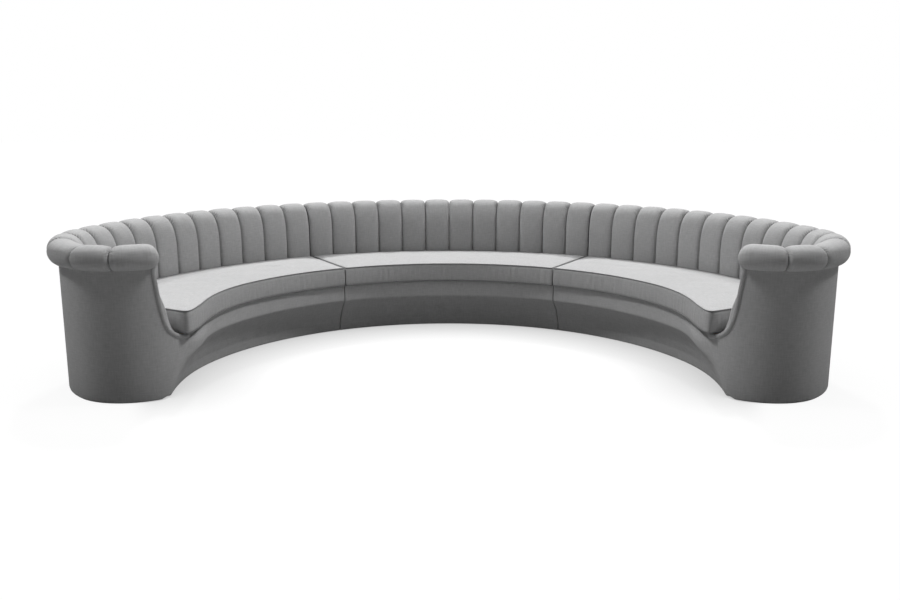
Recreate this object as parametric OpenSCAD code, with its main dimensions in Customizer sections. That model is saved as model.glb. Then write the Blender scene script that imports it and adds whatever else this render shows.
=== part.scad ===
// Round sofa in three upholstered modules, with a channelled back that rolls over the top rail
// and curls round both arms, a coved plinth, and one loose boxed cushion on each module.
// The ring is drawn about its own centre; every angle is in degrees, clockwise from the back.

/* [Ring] */
// Outside radius of the back at the floor
wall_r = 2045; // [1900:5:2200]
// Depth of the sofa, from the outside of the back to the upright lip under the seat
sofa_depth = 712; // [640:1:780]
// Depth of the cove, from the lip back to the floor line
cove_depth = 92; // [40:1:120]
// Distance that the seat cushions stand out over the lip
cushion_over = 18; // [4:1:30]
// Angle from the middle of the back to each seam between modules
seam_angle = 30; // [24:0.5:36]
// Gap between two modules at the seam, measured at the lip
module_gap = 4; // [2:0.5:8]

/* [Heights] */
// Height of the glides under the base
glide_h = 6; // [4:0.5:12]
// Height of the top of the plinth lip
lip_top_z = 312; // [290:1:330]
// Height of the break between the lip and the cove
cove_top_z = 214; // [180:1:240]
// Height of the deck that the cushions lie on
deck_z = 316; // [300:1:340]
// Height of the piped top edge of the cushions
cushion_edge_z = 430; // [400:1:460]
// Height that the middle of a cushion rises over its piped edge
cushion_crown = 15; // [6:1:24]
// Height of the seam where the roll meets the outside of the back
roll_seam_z = 650; // [620:1:670]
// Height of the middle of the roll
roll_z = 712; // [690:1:730]
// Height of the top of the roll in a seam between channels
crest_z = 768; // [750:1:780]

/* [Back] */
// Depth of the padded back from its outside to the bottom of a channel seam
back_t = 125; // [110:1:150]
// Distance that the roll stands out over the outside of the back at a seam
roll_over = 42; // [30:1:55]
// Height where the face of the back starts to lean away
face_z = 560; // [520:1:590]
// Swell of a channel on the face of the back
face_swell = 19; // [8:1:24]
// Swell of a channel on top of the roll
crest_swell = 18; // [8:1:24]
// Swell of a channel on the outside of the roll
roll_swell = 10; // [5:1:16]
// Channels on the middle module, which also sets their width along the whole sofa
middle_channels = 12; // [8:1:16]

/* [Arm] */
// Angle on the ring where the corner of the arm begins
corner_start = 80.2; // [78:0.1:83]
// Outside radius of the corner, as a share of the depth of the sofa
corner_r_share = 0.878; // [0.82:0.002:0.94]
// Outside radius of the curled end of the arm, as a share of the depth of the sofa
arm_r_share = 0.4312; // [0.4:0.0002:0.46]
// Distance that the curled end reaches in past the lip
arm_in = 28; // [20:1:40]
// Angle where the channelled part of the arm ends
arm_end = 219; // [214:0.5:222]
// Radius of the padded welt down the edge of the arm
bead_r = 12.5; // [8:0.5:15]
// Length of the rounded pad on the end of the arm
nose_len = 58; // [30:1:70]

/* [Frame] */
// Thickness of the plywood base, formers and top rail
ply_t = 18; // [12:1:22]
// Thickness of the bent panel behind the channels
panel_t = 8; // [6:0.5:12]
// Thickness of the outside cover with its wadding
cover_t = 6; // [4:0.5:8]
// Thickness of the bent board under the outside cover
board_t = 6; // [4:0.5:8]
// Thickness of the padded cover on the plinth
plinth_t = 14; // [10:1:18]
// Depth of the frame from the outside of the back to the face of the bent panel
core_t = 60; // [52:1:70]
// Depth of the seat rails
rail_w = 45; // [35:1:60]
// Height of the seat rails
rail_h = 45; // [35:1:55]
// Width of a webbing strap
strap_w = 50; // [40:5:60]
// Thickness of a webbing strap
strap_t = 2.5; // [2:0.5:4]
// Radius of a glide
glide_r = 16; // [12:1:25]
// Thickness of the dust cover
dust_t = 0.8; // [0.5:0.1:1.5]

/* [Connector] */
// Thickness of the steel tongue that ties two modules
tongue_t = 5; // [4:0.5:8]
// Height of the tongue
tongue_h = 44; // [30:1:60]
// Length of the tongue past the face of its module
tongue_len = 42; // [30:1:60]
// Height of the middle of the tongues
tongue_z = 130; // [110:1:150]

/* [Hidden] */
$fn = 360;

// Clearances and the overrun of every cut
fit = 0.3;
channel_gap = 0.8;
cushion_gap = 0.8;
overrun = 5;

// Heights of the frame, worked up from the glides and down from the deck
base_top = glide_h + ply_t;
pad_t = 12;
rail_top = deck_z - pad_t - strap_t;
rail_bottom = rail_top - rail_h;
top_rail_bottom = roll_seam_z - ply_t - fit;
post_inner = core_t - panel_t - fit;
post_outer = cover_t + board_t + 2 * fit;

// The lip, the front edge of the cushions and the arm follow the depth from the outside
lip_r = wall_r - sofa_depth;
cushion_front_r = lip_r - cushion_over;
corner_r = sofa_depth * corner_r_share;
arm_r = sofa_depth * arm_r_share;

// Half the gap between modules, as an angle
gap_angle = module_gap / 2 / lip_r * 180 / PI;
end_angle = seam_angle - gap_angle;
start_angle = seam_angle + gap_angle;

// Centres of the corner and of the curled end, each on the end radius of the arc before it. The
// corner turns until the curled end reaches in past the lip by its distance.
function way(a) = [sin(a), cos(a)];
arm_c_r = lip_r - arm_in + arm_r;
corner_turn = acos((arm_c_r * arm_c_r - pow(wall_r - corner_r, 2) - pow(corner_r - arm_r, 2))
  / (2 * (wall_r - corner_r) * (corner_r - arm_r)));
corner_end = corner_start + corner_turn;
corner_c = (wall_r - corner_r) * way(corner_start);
arm_c = corner_c + (corner_r - arm_r) * way(corner_end);
arm_c_a = atan2(arm_c.x, arm_c.y);

// Path round the outside of the back, by its length from the seam of an end module
seam_turn = corner_start - seam_angle;
ring_run = seam_turn * PI / 180 * wall_r;
corner_run = corner_turn * PI / 180 * corner_r;
function turn(run, radius) = run / radius * 180 / PI;
function path(s) =
  s < ring_run ? [0, 0, seam_angle + turn(s, wall_r), wall_r] :
  s < ring_run + corner_run ?
    [corner_c.x, corner_c.y, corner_start + turn(s - ring_run, corner_r), corner_r] :
    [arm_c.x, arm_c.y, corner_end + turn(s - ring_run - corner_run, arm_r), arm_r];
function arm_run(a) = ring_run + corner_run + (a - corner_end) * PI / 180 * arm_r;
function at_path(s, depth) =
  let(p = path(s)) [p.x + (p[3] - depth) * sin(p[2]), p.y + (p[3] - depth) * cos(p[2])];
function raised(p, z) = [p.x, p.y, z];

// Solids from sections: each section is a closed list of points, all of one length.
// An end is closed from the last point but one, or across a strip with as many points on each side.
function fan_cap(n) =
  [for (j = [0 : n - 1]) if (j != n - 2 && j != n - 3) [n - 2, j, (j + 1) % n]];
function strip_cap(n) = concat(
  [for (j = [0 : n / 2 - 2]) [j, j + 1, n - 1 - j]],
  [for (j = [0 : n / 2 - 2]) [j + 1, n - 2 - j, n - 1 - j]]
);
function loft_faces(cap, n, last, first) = concat(
  [for (f = cap) [first + f[2], first + f[1], first + f[0]]],
  [for (i = [0 : last - 1]) for (j = [0 : n - 1])
    [first + i * n + j, first + i * n + (j + 1) % n, first + (i + 1) * n + (j + 1) % n]],
  [for (i = [0 : last - 1]) for (j = [0 : n - 1])
    [first + i * n + j, first + (i + 1) * n + (j + 1) % n, first + (i + 1) * n + j]],
  [for (f = cap) [for (j = f) first + last * n + j]]
);
function total(list, end) = end == 0 ? 0 : total(list, end - 1) + list[end - 1];
// Several separate solids with sections of one length
module lofts(solids, strip = false) {
  n = len(solids[0][0]);
  cap = strip ? strip_cap(n) : fan_cap(n);
  counts = [for (solid = solids) len(solid)];
  polyhedron(
    points = [for (solid = solids) for (section = solid) for (p = section) p],
    faces = [for (i = [0 : len(solids) - 1])
      for (f = loft_faces(cap, n, counts[i] - 1, n * total(counts, i))) f],
    convexity = 6
  );
}
module loft(sections, strip = false) lofts([sections], strip);

// Sweep of a radius and height profile about a centre, from angle a0 to angle a1
module sweep(centre, a0, a1) {
  translate([centre.x, centre.y, 0]) rotate([0, 0, 90 - a1])
    rotate_extrude(angle = a1 - a0) children();
}
module box_profile(r0, r1, z0, z1) {
  translate([r0, z0]) square([r1 - r0, z1 - z0]);
}
// The same band in three lengths: round an end module, round its corner and round its arm
module end_band(d0, d1, z0, z1, a_first, a_last) {
  sweep([0, 0], a_first, corner_start) box_profile(wall_r - d1, wall_r - d0, z0, z1);
  sweep(corner_c, corner_start + turn(fit, corner_r - d1), corner_end)
    box_profile(corner_r - d1, corner_r - d0, z0, z1);
  sweep(arm_c, corner_end + turn(fit, arm_r - d1), a_last) box_profile(arm_r - d1, arm_r - d0, z0, z1);
}
// Plan of an end module inside a depth from its outside, down to an inner radius, in three boards
module end_plan(depth, inner, z0, z1) {
  sweep([0, 0], start_angle, corner_start) box_profile(inner, wall_r - depth, z0, z1);
  difference() {
    union() {
      translate(fit * way(corner_start + 90))
        sweep(corner_c, corner_start, corner_end) box_profile(0, corner_r - depth - fit, z0, z1);
      translate(2 * fit * way(corner_end + 90))
        sweep(arm_c, corner_end, corner_end + 180) box_profile(0, arm_r - depth - 2 * fit, z0, z1);
    }
    translate([0, 0, z0 - overrun]) cylinder(r = inner, h = z1 - z0 + 2 * overrun);
  }
}
module in_place() translate([0, -ring_shift, 0]) children();
module on_left() mirror([1, 0, 0]) children();

// Flat plate standing on the radius at an angle, drawn in radius and height
module radial_plate(a, t) {
  rotate([0, 0, -a]) translate([-t / 2, 0, 0]) rotate([90, 0, 90]) linear_extrude(t) children();
}

// Cove of the plinth: shares of the height of its break, each with a share of the cove depth
cove_break_share = cove_top_z / lip_top_z;
cove_share = [[0, 1], [0.265, 0.935], [0.52, 0.74], [0.805, 0.36], [1, 0]];
function cove_r(share) =
  share >= cove_break_share ? lip_r : lip_r + cove_depth * lookup(share / cove_break_share, cove_share);
// Rows of the plinth cover, dense where the cove bends
row_share = [0, 0.12, 0.25, 0.38, 0.5, 0.6, cove_break_share, 0.85, 1];
rows = len(row_share) - 1;
function row_z(share, top) = glide_h + share * (top - glide_h);

module plinth_profile() {
  polygon(concat(
    [for (s = row_share) [cove_r(s), row_z(s, lip_top_z)]],
    [for (i = [rows : -1 : 0]) [cove_r(row_share[i]) + plinth_t, row_z(row_share[i], lip_top_z)]]
  ));
}

// Plinth at the arm: the cove fades into the round end of the arm along a ridge
fade_run = 507;
fade_start = arm_c_a - turn(fade_run, lip_r);
toe_depth = 72;
toe_top_drop = 36;
ridge_lip_in = 4;
toe_depth_share = [1, 0.84, 0.68, 0.52, 0.38, 0.27, 0.17, 0.05, 0];
arm_lip_z = lip_top_z - toe_top_drop;
function toe_r(i) = lip_r - ridge_lip_in + (toe_depth + ridge_lip_in) * toe_depth_share[i];
// Angle about the arm centre where a circle of radius ring about the ring centre meets one of radius own
function meet(ring, own) =
  arm_c_a + acos((ring * ring - arm_c_r * arm_c_r - own * own) / (2 * arm_c_r * own));
function ridge_angle(i, inset) = meet(toe_r(i) + inset, arm_r - inset);
function ridge_point(i, inset) = arm_c + (arm_r - inset) * way(ridge_angle(i, inset));
function smooth(t) = t * t * (3 - 2 * t);
fade_steps = 9;
function plinth_point(i, k, inset) =
  let(
    t = k / fade_steps,
    q = ridge_point(i, inset),
    q_angle = atan2(q.x, q.y),
    a_first = fade_start + turn(fit, lip_r),
    a = a_first + (q_angle - a_first) * t,
    w = smooth(t),
    r = (cove_r(row_share[i]) + inset) * (1 - w) + norm(q) * w,
    top = lip_top_z + (arm_lip_z - lip_top_z) * smooth(max(0, 2 * t - 1))
  ) raised(r * way(a), row_z(row_share[i], top));
module plinth_fade() {
  loft([for (k = [0 : fade_steps]) concat(
    [for (i = [0 : rows]) plinth_point(i, k, 0)],
    [for (i = [rows : -1 : 0]) plinth_point(i, k, plinth_t)]
  )], strip = true);
}

// Padded welt down the edge of the arm: shares of its turn from the end of the arm to the ridge,
// and of its height from its foot to the roll
bead_turn_share = [0, 0.056, 0.118, 0.191, 0.263, 0.362, 0.493, 0.645, 0.816, 1];
bead_height_share = [1, 0.787, 0.563, 0.381, 0.255, 0.1625, 0.095, 0.05, 0.022, 0];
bead_last = len(bead_turn_share) - 1;
bead_back = 0.6;
bead_past = 0.7;
bead_angles = [for (share = bead_turn_share)
  arm_end - bead_back + (ridge_angle(rows, 0) + bead_past - arm_end + bead_back) * share];
bead_foot = arm_lip_z + bead_r + fit;
bead_top = roll_seam_z - bead_r / 2;
bead_mid_r = arm_r - bead_r * 0.4;
// The welt unrolled from the round arm: length round the arm, and height
function bead_flat(i) = [
  bead_angles[i] * PI / 180 * arm_r,
  bead_foot + bead_height_share[i] * (bead_top - bead_foot)
];
function bead_along(i) =
  let(d = bead_flat(min(i + 1, bead_last)) - bead_flat(max(i - 1, 0))) d / norm(d);
function flat_to_arm(p, r) = raised(arm_c + r * way(p.x / arm_r * 180 / PI), p.y);
bead_sides = 8;
function bead_ring(i, r) = [
  for (k = [0 : bead_sides - 1])
    let(a = 360 * k / bead_sides, n = [-bead_along(i).y, bead_along(i).x])
      flat_to_arm(bead_flat(i) + r * cos(a) * n, bead_mid_r + r * sin(a))
];

// Round end of the arm from the foot to the roll, with its edge along the ridge and the welt
panel_start = 200;
panel_steps = 5;
function bead_side(i) =
  let(p = bead_flat(i) + (bead_r + fit) * [bead_along(i).y, -bead_along(i).x], a = p.x / arm_r * 180 / PI)
    [a, a, p.y];
panel_edges = concat(
  [for (i = [0 : rows]) let(gap = turn(fit, arm_r))
    [ridge_angle(i, 0) - gap, ridge_angle(i, plinth_t) - gap, row_z(row_share[i], arm_lip_z)]],
  [for (i = [bead_last : -1 : 0]) bead_side(i)],
  [[bead_side(0).x, bead_side(0).x, roll_seam_z]]
);
module arm_panel() {
  loft([for (e = panel_edges) concat(
    [for (k = [0 : panel_steps])
      raised(arm_c + arm_r * way(panel_start + (e[0] - panel_start) * k / panel_steps), e[2])],
    [for (k = [panel_steps : -1 : 0])
      raised(arm_c + (arm_r - plinth_t) * way(panel_start + (e[1] - panel_start) * k / panel_steps), e[2])]
  )], strip = true);
}

// Section of a channel, as depth from the outside of the back and height, swollen by a share
roll_mid = 15;
shoulder_power = 2.4;
shoulder_angles = [39, 56, 72, 90];
roll_angles = [30, 60, 90, 125];
function channel_section(swell) =
  let(
    face = back_t + swell * face_swell,
    crest = crest_z + swell * crest_swell,
    over = roll_over + swell * roll_swell,
    e = 2 / shoulder_power,
    seam_height_share = (roll_seam_z + fit - face_z) / (crest - face_z),
    seam_turn_angle = asin(pow(seam_height_share, 1 / e))
  ) concat(
    [[face, deck_z + fit]],
    [for (u = concat([0, seam_turn_angle], shoulder_angles))
      [roll_mid + (face - roll_mid) * pow(max(0, cos(u)), e), face_z + (crest - face_z) * pow(sin(u), e)]],
    [for (v = roll_angles) [
      roll_mid - (over + roll_mid) * sin(v),
      roll_z + (v < 90 ? crest - roll_z : roll_z - roll_seam_z) * cos(v)
    ]],
    [[fit, roll_seam_z + fit], [core_t + fit, roll_seam_z + fit], [core_t + fit, deck_z + fit]]
  );
function section_at(s, swell) = [for (p = channel_section(swell)) raised(at_path(s, p[0]), p[1])];
width_share = [0, 0.15, 0.5, 0.85, 1];
swell_share = [0, 0.75, 1, 0.75, 0];
function channel_columns(s0, s1) =
  [for (k = [0 : len(width_share) - 1]) section_at(s0 + (s1 - s0) * width_share[k], swell_share[k])];
function channel(s0, s1) = channel_columns(s0 + channel_gap / 2, s1 - channel_gap / 2);
// The last channel closes in a rounded end that stands past the arm
end_reach = 24;
end_share = [0.45, 0.8, 1];
end_size_share = [0.93, 0.7, 0.3];
end_mid_depth = 30;
function end_section(s, k) = [
  for (p = channel_section(0.5))
    let(
      free = p[1] > roll_seam_z + 2 * fit,
      size = free ? end_size_share[k] : 1,
      depth = end_mid_depth + (p[0] - end_mid_depth) * size,
      z = free ? roll_z + (p[1] - roll_z) * size : p[1]
    ) raised(at_path(s + (free ? end_reach * end_share[k] : 0), depth), z)
];
function last_channel(s0, s1) =
  concat(channel(s0, s1), [for (k = [0 : len(end_share) - 1]) end_section(s1, k)]);
pitch_run = 2 * seam_angle / middle_channels * PI / 180 * wall_r;
gap_run = gap_angle * PI / 180 * wall_r;
ring_channels = round(seam_turn * PI / 180 * wall_r / pitch_run) + 2;
arm_channel_share = [0, 0.465, 0.731, 1];
arm_start_run = ring_channels * pitch_run;
arm_end_run = arm_run(arm_end);
arm_breaks = [for (p = arm_channel_share) arm_start_run + (arm_end_run - arm_start_run) * p];

// The reach of the roll to the back and to the front sets the middle of the footprint
back_reach = (wall_r + roll_over + roll_swell) * cos(seam_angle / middle_channels);
front_reach = max([for (i = [0 : 2]) for (k = [0 : len(width_share) - 1])
  -at_path(arm_breaks[i] + (arm_breaks[i + 1] - arm_breaks[i]) * width_share[k],
    -roll_over - roll_swell * swell_share[k]).y]);
ring_shift = (back_reach - front_reach) / 2;

// Section of a boxed cushion between a front and a back point of its plan
edge_draw = 4;
crown_place_share = [0.1, 0.28, 0.52, 0.76, 0.92];
crown_height_share = [0.55, 0.9, 1, 0.88, 0.5];
full_crown_width = 240;
function cushion_section(front, back, crown) =
  let(
    width = norm(back - front),
    inward = (back - front) / width,
    rise = crown * min(1, width / full_crown_width),
    mid_z = (deck_z + cushion_edge_z) / 2
  ) concat(
    [
      raised(front + edge_draw * inward, deck_z + fit),
      raised(front, mid_z),
      raised(front + edge_draw * inward, cushion_edge_z)
    ],
    [for (k = [0 : len(crown_place_share) - 1]) raised(
      front + width * crown_place_share[k] * inward, cushion_edge_z + rise * crown_height_share[k])],
    [
      raised(back - edge_draw * inward, cushion_edge_z),
      raised(back, mid_z),
      raised(back - edge_draw * inward, deck_z + fit)
    ]
  );
cushion_back = back_t + face_swell + cushion_gap;
cushion_steps = 18;
function end_crown(t) = cushion_crown * (1 - pow(abs(2 * t - 1), 6));
function ring_cushion(a) = [cushion_front_r * way(a), (wall_r - cushion_back) * way(a)];

// Front line of an end cushion: it draws in near the arm, then runs out to the corner of its ear.
// The corner lies past the arm's middle, and the line would be out again past the corner.
ear_in = 42;
ear_start = 64;
ear_past = 168;
ear_out = 42;
ear_power = 2.33;
ear_ease = 0.8;
ear_corner = arm_c_a + turn(ear_past, cushion_front_r);
ear_end = ear_corner + turn(ear_out, cushion_front_r);
function ear_r(a) =
  cushion_front_r - ear_in * (a < ear_start ? 0 :
    pow(sin(180 * pow((a - ear_start) / (ear_end - ear_start), ear_power)), ear_ease));
flank_end_angle = 247;
flank_clearance = 12;
tail_front_angle = 240;
tail_back_angle = 230;
flank_end = arm_c + (arm_r - cushion_back + flank_clearance) * way(flank_end_angle);
ear_point = ear_r(ear_corner) * way(ear_corner);
fan_start = 78;
fan_run = (fan_start - seam_angle) * PI / 180 * wall_r;
corner_share = 0.36;
turn_share = 0.42;
corner_back_run = ring_run + corner_run * corner_share;
turn_back_run = ring_run + corner_run * turn_share;
last_back_run = arm_run(tail_back_angle);
last_front = arm_c + (arm_r - cushion_back) * way(tail_front_angle);
ring_steps = 12;
fan_steps = 12;
flank_steps = 3;
turn_steps = 9;
function mixed(p, q, t) = p + (q - p) * t;
end_cushion_lines = concat(
  [for (k = [0 : ring_steps]) ring_cushion(mixed(start_angle, fan_start, k / ring_steps))],
  [for (k = [1 : fan_steps]) let(t = k / fan_steps, a = mixed(fan_start, ear_corner, t))
    [ear_r(a) * way(a), at_path(mixed(fan_run, corner_back_run, t), cushion_back)]],
  [for (k = [1 : flank_steps]) let(t = k / flank_steps)
    [mixed(ear_point, flank_end, t), at_path(mixed(corner_back_run, turn_back_run, t), cushion_back)]],
  [for (k = [1 : turn_steps]) let(t = k / turn_steps)
    [mixed(flank_end, last_front, t), at_path(mixed(turn_back_run, last_back_run, t), cushion_back)]]
);
end_cushion_last = len(end_cushion_lines) - 1;

// Rounded pad on the end of the arm, behind the welt, from the deck to the roll
nose_power = 2.5;
lean_power = 1.6;
nose_outer_r = arm_r - 1.4 * bead_r - fit;
nose_inner_r = arm_r - back_t - face_swell;
nose_place_share = [0, 0.06, 0.2, 0.4, 0.6, 0.8, 0.94, 1];
function nose_row(angle, z) =
  let(
    mid = (nose_outer_r + nose_inner_r) / 2,
    half = (nose_outer_r - nose_inner_r) / 2,
    root = arm_end + turn(fit, nose_inner_r),
    base = root + turn(fit, nose_inner_r)
  ) concat(
    [for (p = nose_place_share)
      let(
        r = nose_outer_r - 2 * half * p,
        lean = (max(angle, base) - base) * PI / 180 * arm_r * pow(1 - p, lean_power),
        bulge = nose_len * pow(max(0, 1 - pow(abs(r - mid) / half, nose_power)), 1 / nose_power)
      ) raised(arm_c + r * way(base + turn(lean + bulge, r)), z)],
    [raised(arm_c + nose_inner_r * way(root), z), raised(arm_c + nose_outer_r * way(root), z)]
  );

// Angle at a radius taken up by the side panel inside the end of a module
function panel_angle(r) = (ply_t + 2 * fit) / r * 180 / PI;

// Sheet of a radial former: cove, seat and back post, in radius and height
rib_front = plinth_t + fit;
fade_setback = 12;
function rib_outline(seat_top, back_top, setback) = concat(
  [[cove_r(0) + rib_front + setback, base_top]],
  [for (i = [1 : rows]) if (row_z(row_share[i], lip_top_z) > base_top && row_z(row_share[i], lip_top_z) < seat_top)
    [cove_r(row_share[i]) + rib_front + setback, row_z(row_share[i], lip_top_z)]],
  [
    [lip_r + rib_front + setback, seat_top], [wall_r - post_inner, seat_top], [wall_r - post_inner, back_top],
    [wall_r - post_outer, back_top], [wall_r - post_outer, base_top]
  ]
);
hole_r = 55;
hole_place_share = [0.28, 0.52, 0.76];
module rib_blank(setback) polygon(rib_outline(rail_bottom, top_rail_bottom, setback));
module rib_sheet(setback) {
  difference() {
    rib_blank(setback);
    for (p = hole_place_share)
      translate([mixed(lip_r, wall_r - core_t, p), (base_top + rail_bottom) / 2]) circle(r = hole_r);
  }
}
module ring_rib(a) radial_plate(a, ply_t) rib_sheet(a > fade_start ? fade_setback : 0);
// Former that stands round the corner and the arm, with a foot that carries the rear rail
foot_depth = core_t + rail_w + 2 * fit;
module arm_rib(centre, radius, a) {
  translate([centre.x, centre.y, 0]) radial_plate(a, ply_t) polygon([
    [radius - foot_depth, base_top], [radius - foot_depth, rail_bottom], [radius - post_inner, rail_bottom],
    [radius - post_inner, top_rail_bottom], [radius - post_outer, top_rail_bottom],
    [radius - post_outer, base_top]
  ]);
}
// Short former under the front rail beside the arm
short_rib_depth = 190;
module short_rib(a) {
  radial_plate(a, ply_t) intersection() {
    rib_blank(fade_setback);
    square([lip_r + short_rib_depth, rail_bottom]);
  }
}

// Connector between two modules, in a frame with x across the seam and y along the radius
connector_r_share = [0.32, 0.8];
socket_wall = 3;
tongue_fit = 0.8;
flange_w = 34;
flange_extra = 30;
socket_w = tongue_t + 2 * tongue_fit + 2 * socket_wall;
socket_h = tongue_h + 2 * tongue_fit + 2 * socket_wall;
face_x = module_gap / 2 + fit;
function connector_r(p) = mixed(lip_r, wall_r - core_t, p);
module at_seam(r) rotate([0, 0, -seam_angle]) translate([0, r, tongue_z]) children();
module block(x0, x1, w, h) translate([x0, -w / 2, -h / 2]) cube([x1 - x0, w, h]);
module socket() {
  back = face_x + ply_t + fit;
  difference() {
    union() {
      block(-face_x - tongue_len - 2 * socket_wall, -face_x, socket_w, socket_h);
      block(-back - 2 * fit - socket_wall, -back - 2 * fit, flange_w, socket_h + flange_extra);
    }
    block(-face_x - tongue_len - socket_wall, overrun, tongue_t + 2 * tongue_fit, tongue_h + 2 * tongue_fit);
  }
}
module tongue() {
  back = face_x + ply_t + 2 * fit;
  block(-tongue_len, back + socket_wall / 2, tongue_t, tongue_h);
  block(back, back + socket_wall, flange_w, tongue_h + flange_extra);
}
module side_sheet() polygon(rib_outline(rail_top, roll_seam_z - fit, 0));
module side_panel(a, side) {
  rotate([0, 0, -a]) translate([side > 0 ? 0 : -ply_t, 0, 0]) rotate([90, 0, 90]) linear_extrude(ply_t)
    side_sheet();
}

// Straps from the front rail to the rear rail
module strap(front, back) {
  run = back - front;
  translate([front.x, front.y, rail_top]) rotate([0, 0, atan2(run.y, run.x)])
    translate([0, -strap_w / 2, 0]) cube([norm(run), strap_w, strap_t]);
}
strap_in = 20;
strap_front_r = lip_r + rib_front + strap_in;
strap_fan_share = 0.955;
end_straps = ring_channels + 1;

// Glides, each at a radius and an angle about a centre
module glide_set(places, h, r) {
  for (p = places) translate([p[0].x + p[1] * sin(p[2]), p[0].y + p[1] * cos(p[2]), glide_h - h])
    cylinder(r = r, h = h);
}
front_glide_r = lip_r + cove_depth + 4 * glide_r;
back_glide_r = wall_r - 4 * glide_r;
glide_turn = 3;
arm_glide_angles = [100, 170, 222];
middle_glide_places = [
  for (a = [glide_turn - seam_angle, 0, seam_angle - glide_turn])
    for (r = [front_glide_r, back_glide_r]) [[0, 0], r, a]
];
end_glide_places = concat(
  [for (a = [seam_angle + glide_turn, (seam_angle + corner_start) / 2, corner_start])
    for (r = [front_glide_r, back_glide_r]) [[0, 0], r, a]],
  [for (a = arm_glide_angles) [arm_c, arm_r - 4 * glide_r, a]]
);

base_inset = plinth_t + fit;
base_inner = lip_r + cove_depth + plinth_t + fit;
rail_setback = 2;
rail_front_r = lip_r + rib_front + rail_setback;
rear_rail_d = core_t + fit;
fabric = "gray";
padding = "dimgray";
plywood = "burlywood";
steel = "silver";

module slotted_panel(a, side, w, h) {
  difference() {
    side_panel(a, side);
    for (p = connector_r_share) at_seam(connector_r(p)) block(-reach_of_cut, reach_of_cut, w, h);
  }
}
reach_of_cut = 2 * tongue_len;
socket_slot = [socket_w + 2 * fit, socket_h + 2 * fit];
tongue_slot = [tongue_t + 2 * fit, tongue_h + 2 * fit];
module middle_sweep(r0, r1, z0, z1) {
  a = end_angle - panel_angle(r0);
  sweep([0, 0], -a, a) box_profile(r0, r1, z0, z1);
}
module end_sweep(d0, d1, z0, z1, a_last)
  end_band(d0, d1, z0, z1, start_angle + panel_angle(wall_r - d1), a_last);
arm_frame_end = arm_end - 4;
front_rail_end = 92;
ring_rib_angles = [40, 50, 60, 70, 78];
short_rib_angle = 88;
corner_rib_angles = [92, 106, 120, 134];
arm_rib_angles = [152, 174, 196];

// Middle module
module middle_base_board() color(plywood) in_place()
  sweep([0, 0], -end_angle, end_angle) box_profile(base_inner, wall_r - base_inset, glide_h, base_top);
module middle_ribs() color(plywood) in_place() for (k = [-2 : 2]) ring_rib(k * seam_angle / 3);
module middle_side_panels() color(plywood) in_place() {
  slotted_panel(end_angle, -1, socket_slot[0], socket_slot[1]);
  on_left() slotted_panel(end_angle, -1, socket_slot[0], socket_slot[1]);
}
module middle_front_rail() color(plywood) in_place()
  middle_sweep(rail_front_r, rail_front_r + rail_w, rail_bottom, rail_top);
module middle_rear_rail() color(plywood) in_place()
  middle_sweep(wall_r - rear_rail_d - rail_w, wall_r - rear_rail_d, rail_bottom, rail_top);
module middle_back_panel() color(plywood) in_place()
  middle_sweep(wall_r - core_t, wall_r - core_t + panel_t, rail_bottom, roll_seam_z);
module middle_top_rail() color(plywood) in_place()
  middle_sweep(wall_r - post_inner, wall_r - post_outer, top_rail_bottom, roll_seam_z - fit);
module middle_webbing() color("black") in_place()
  for (k = [0.5 : middle_channels - 0.5]) let(a = -seam_angle + 2 * seam_angle * k / middle_channels)
    strap(strap_front_r * way(a), (wall_r - core_t - strap_in) * way(a));
module middle_seat_pad() color(padding) in_place()
  sweep([0, 0], -end_angle, end_angle)
    box_profile(rail_front_r, wall_r - rear_rail_d, rail_top + strap_t, deck_z);
module middle_seat_cushion() color("darkgray") in_place()
  loft([for (k = [0 : cushion_steps]) let(t = k / cushion_steps, l = ring_cushion(mixed(-end_angle, end_angle, t)))
    cushion_section(l[0], l[1], end_crown(t))]);
module middle_back_channels() color(fabric) in_place()
  lofts([for (i = [1 : middle_channels])
    channel(gap_run * (i == middle_channels ? 1 : 0) - i * pitch_run,
      (1 - i) * pitch_run - gap_run * (i == 1 ? 1 : 0))]);
module middle_front_cover() color(fabric) in_place()
  sweep([0, 0], -end_angle, end_angle) plinth_profile();
module middle_outer_board() color(plywood) in_place()
  middle_sweep(wall_r - post_outer + fit, wall_r - cover_t - fit, glide_h, roll_seam_z);
module middle_outer_cover() color(fabric) in_place()
  sweep([0, 0], -end_angle, end_angle) box_profile(wall_r - cover_t, wall_r, glide_h, roll_seam_z);
module middle_dust_cover() color("dimgray") in_place() difference() {
  sweep([0, 0], -end_angle, end_angle)
    box_profile(base_inner, wall_r - base_inset, glide_h - dust_t, glide_h);
  glide_set(middle_glide_places, overrun, glide_r + tongue_fit);
}
module middle_glides() color("dimgray") in_place() glide_set(middle_glide_places, glide_h, glide_r);
module middle_clip_sockets() color(steel) in_place() for (p = connector_r_share) {
  at_seam(connector_r(p)) socket();
  on_left() at_seam(connector_r(p)) socket();
}

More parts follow.
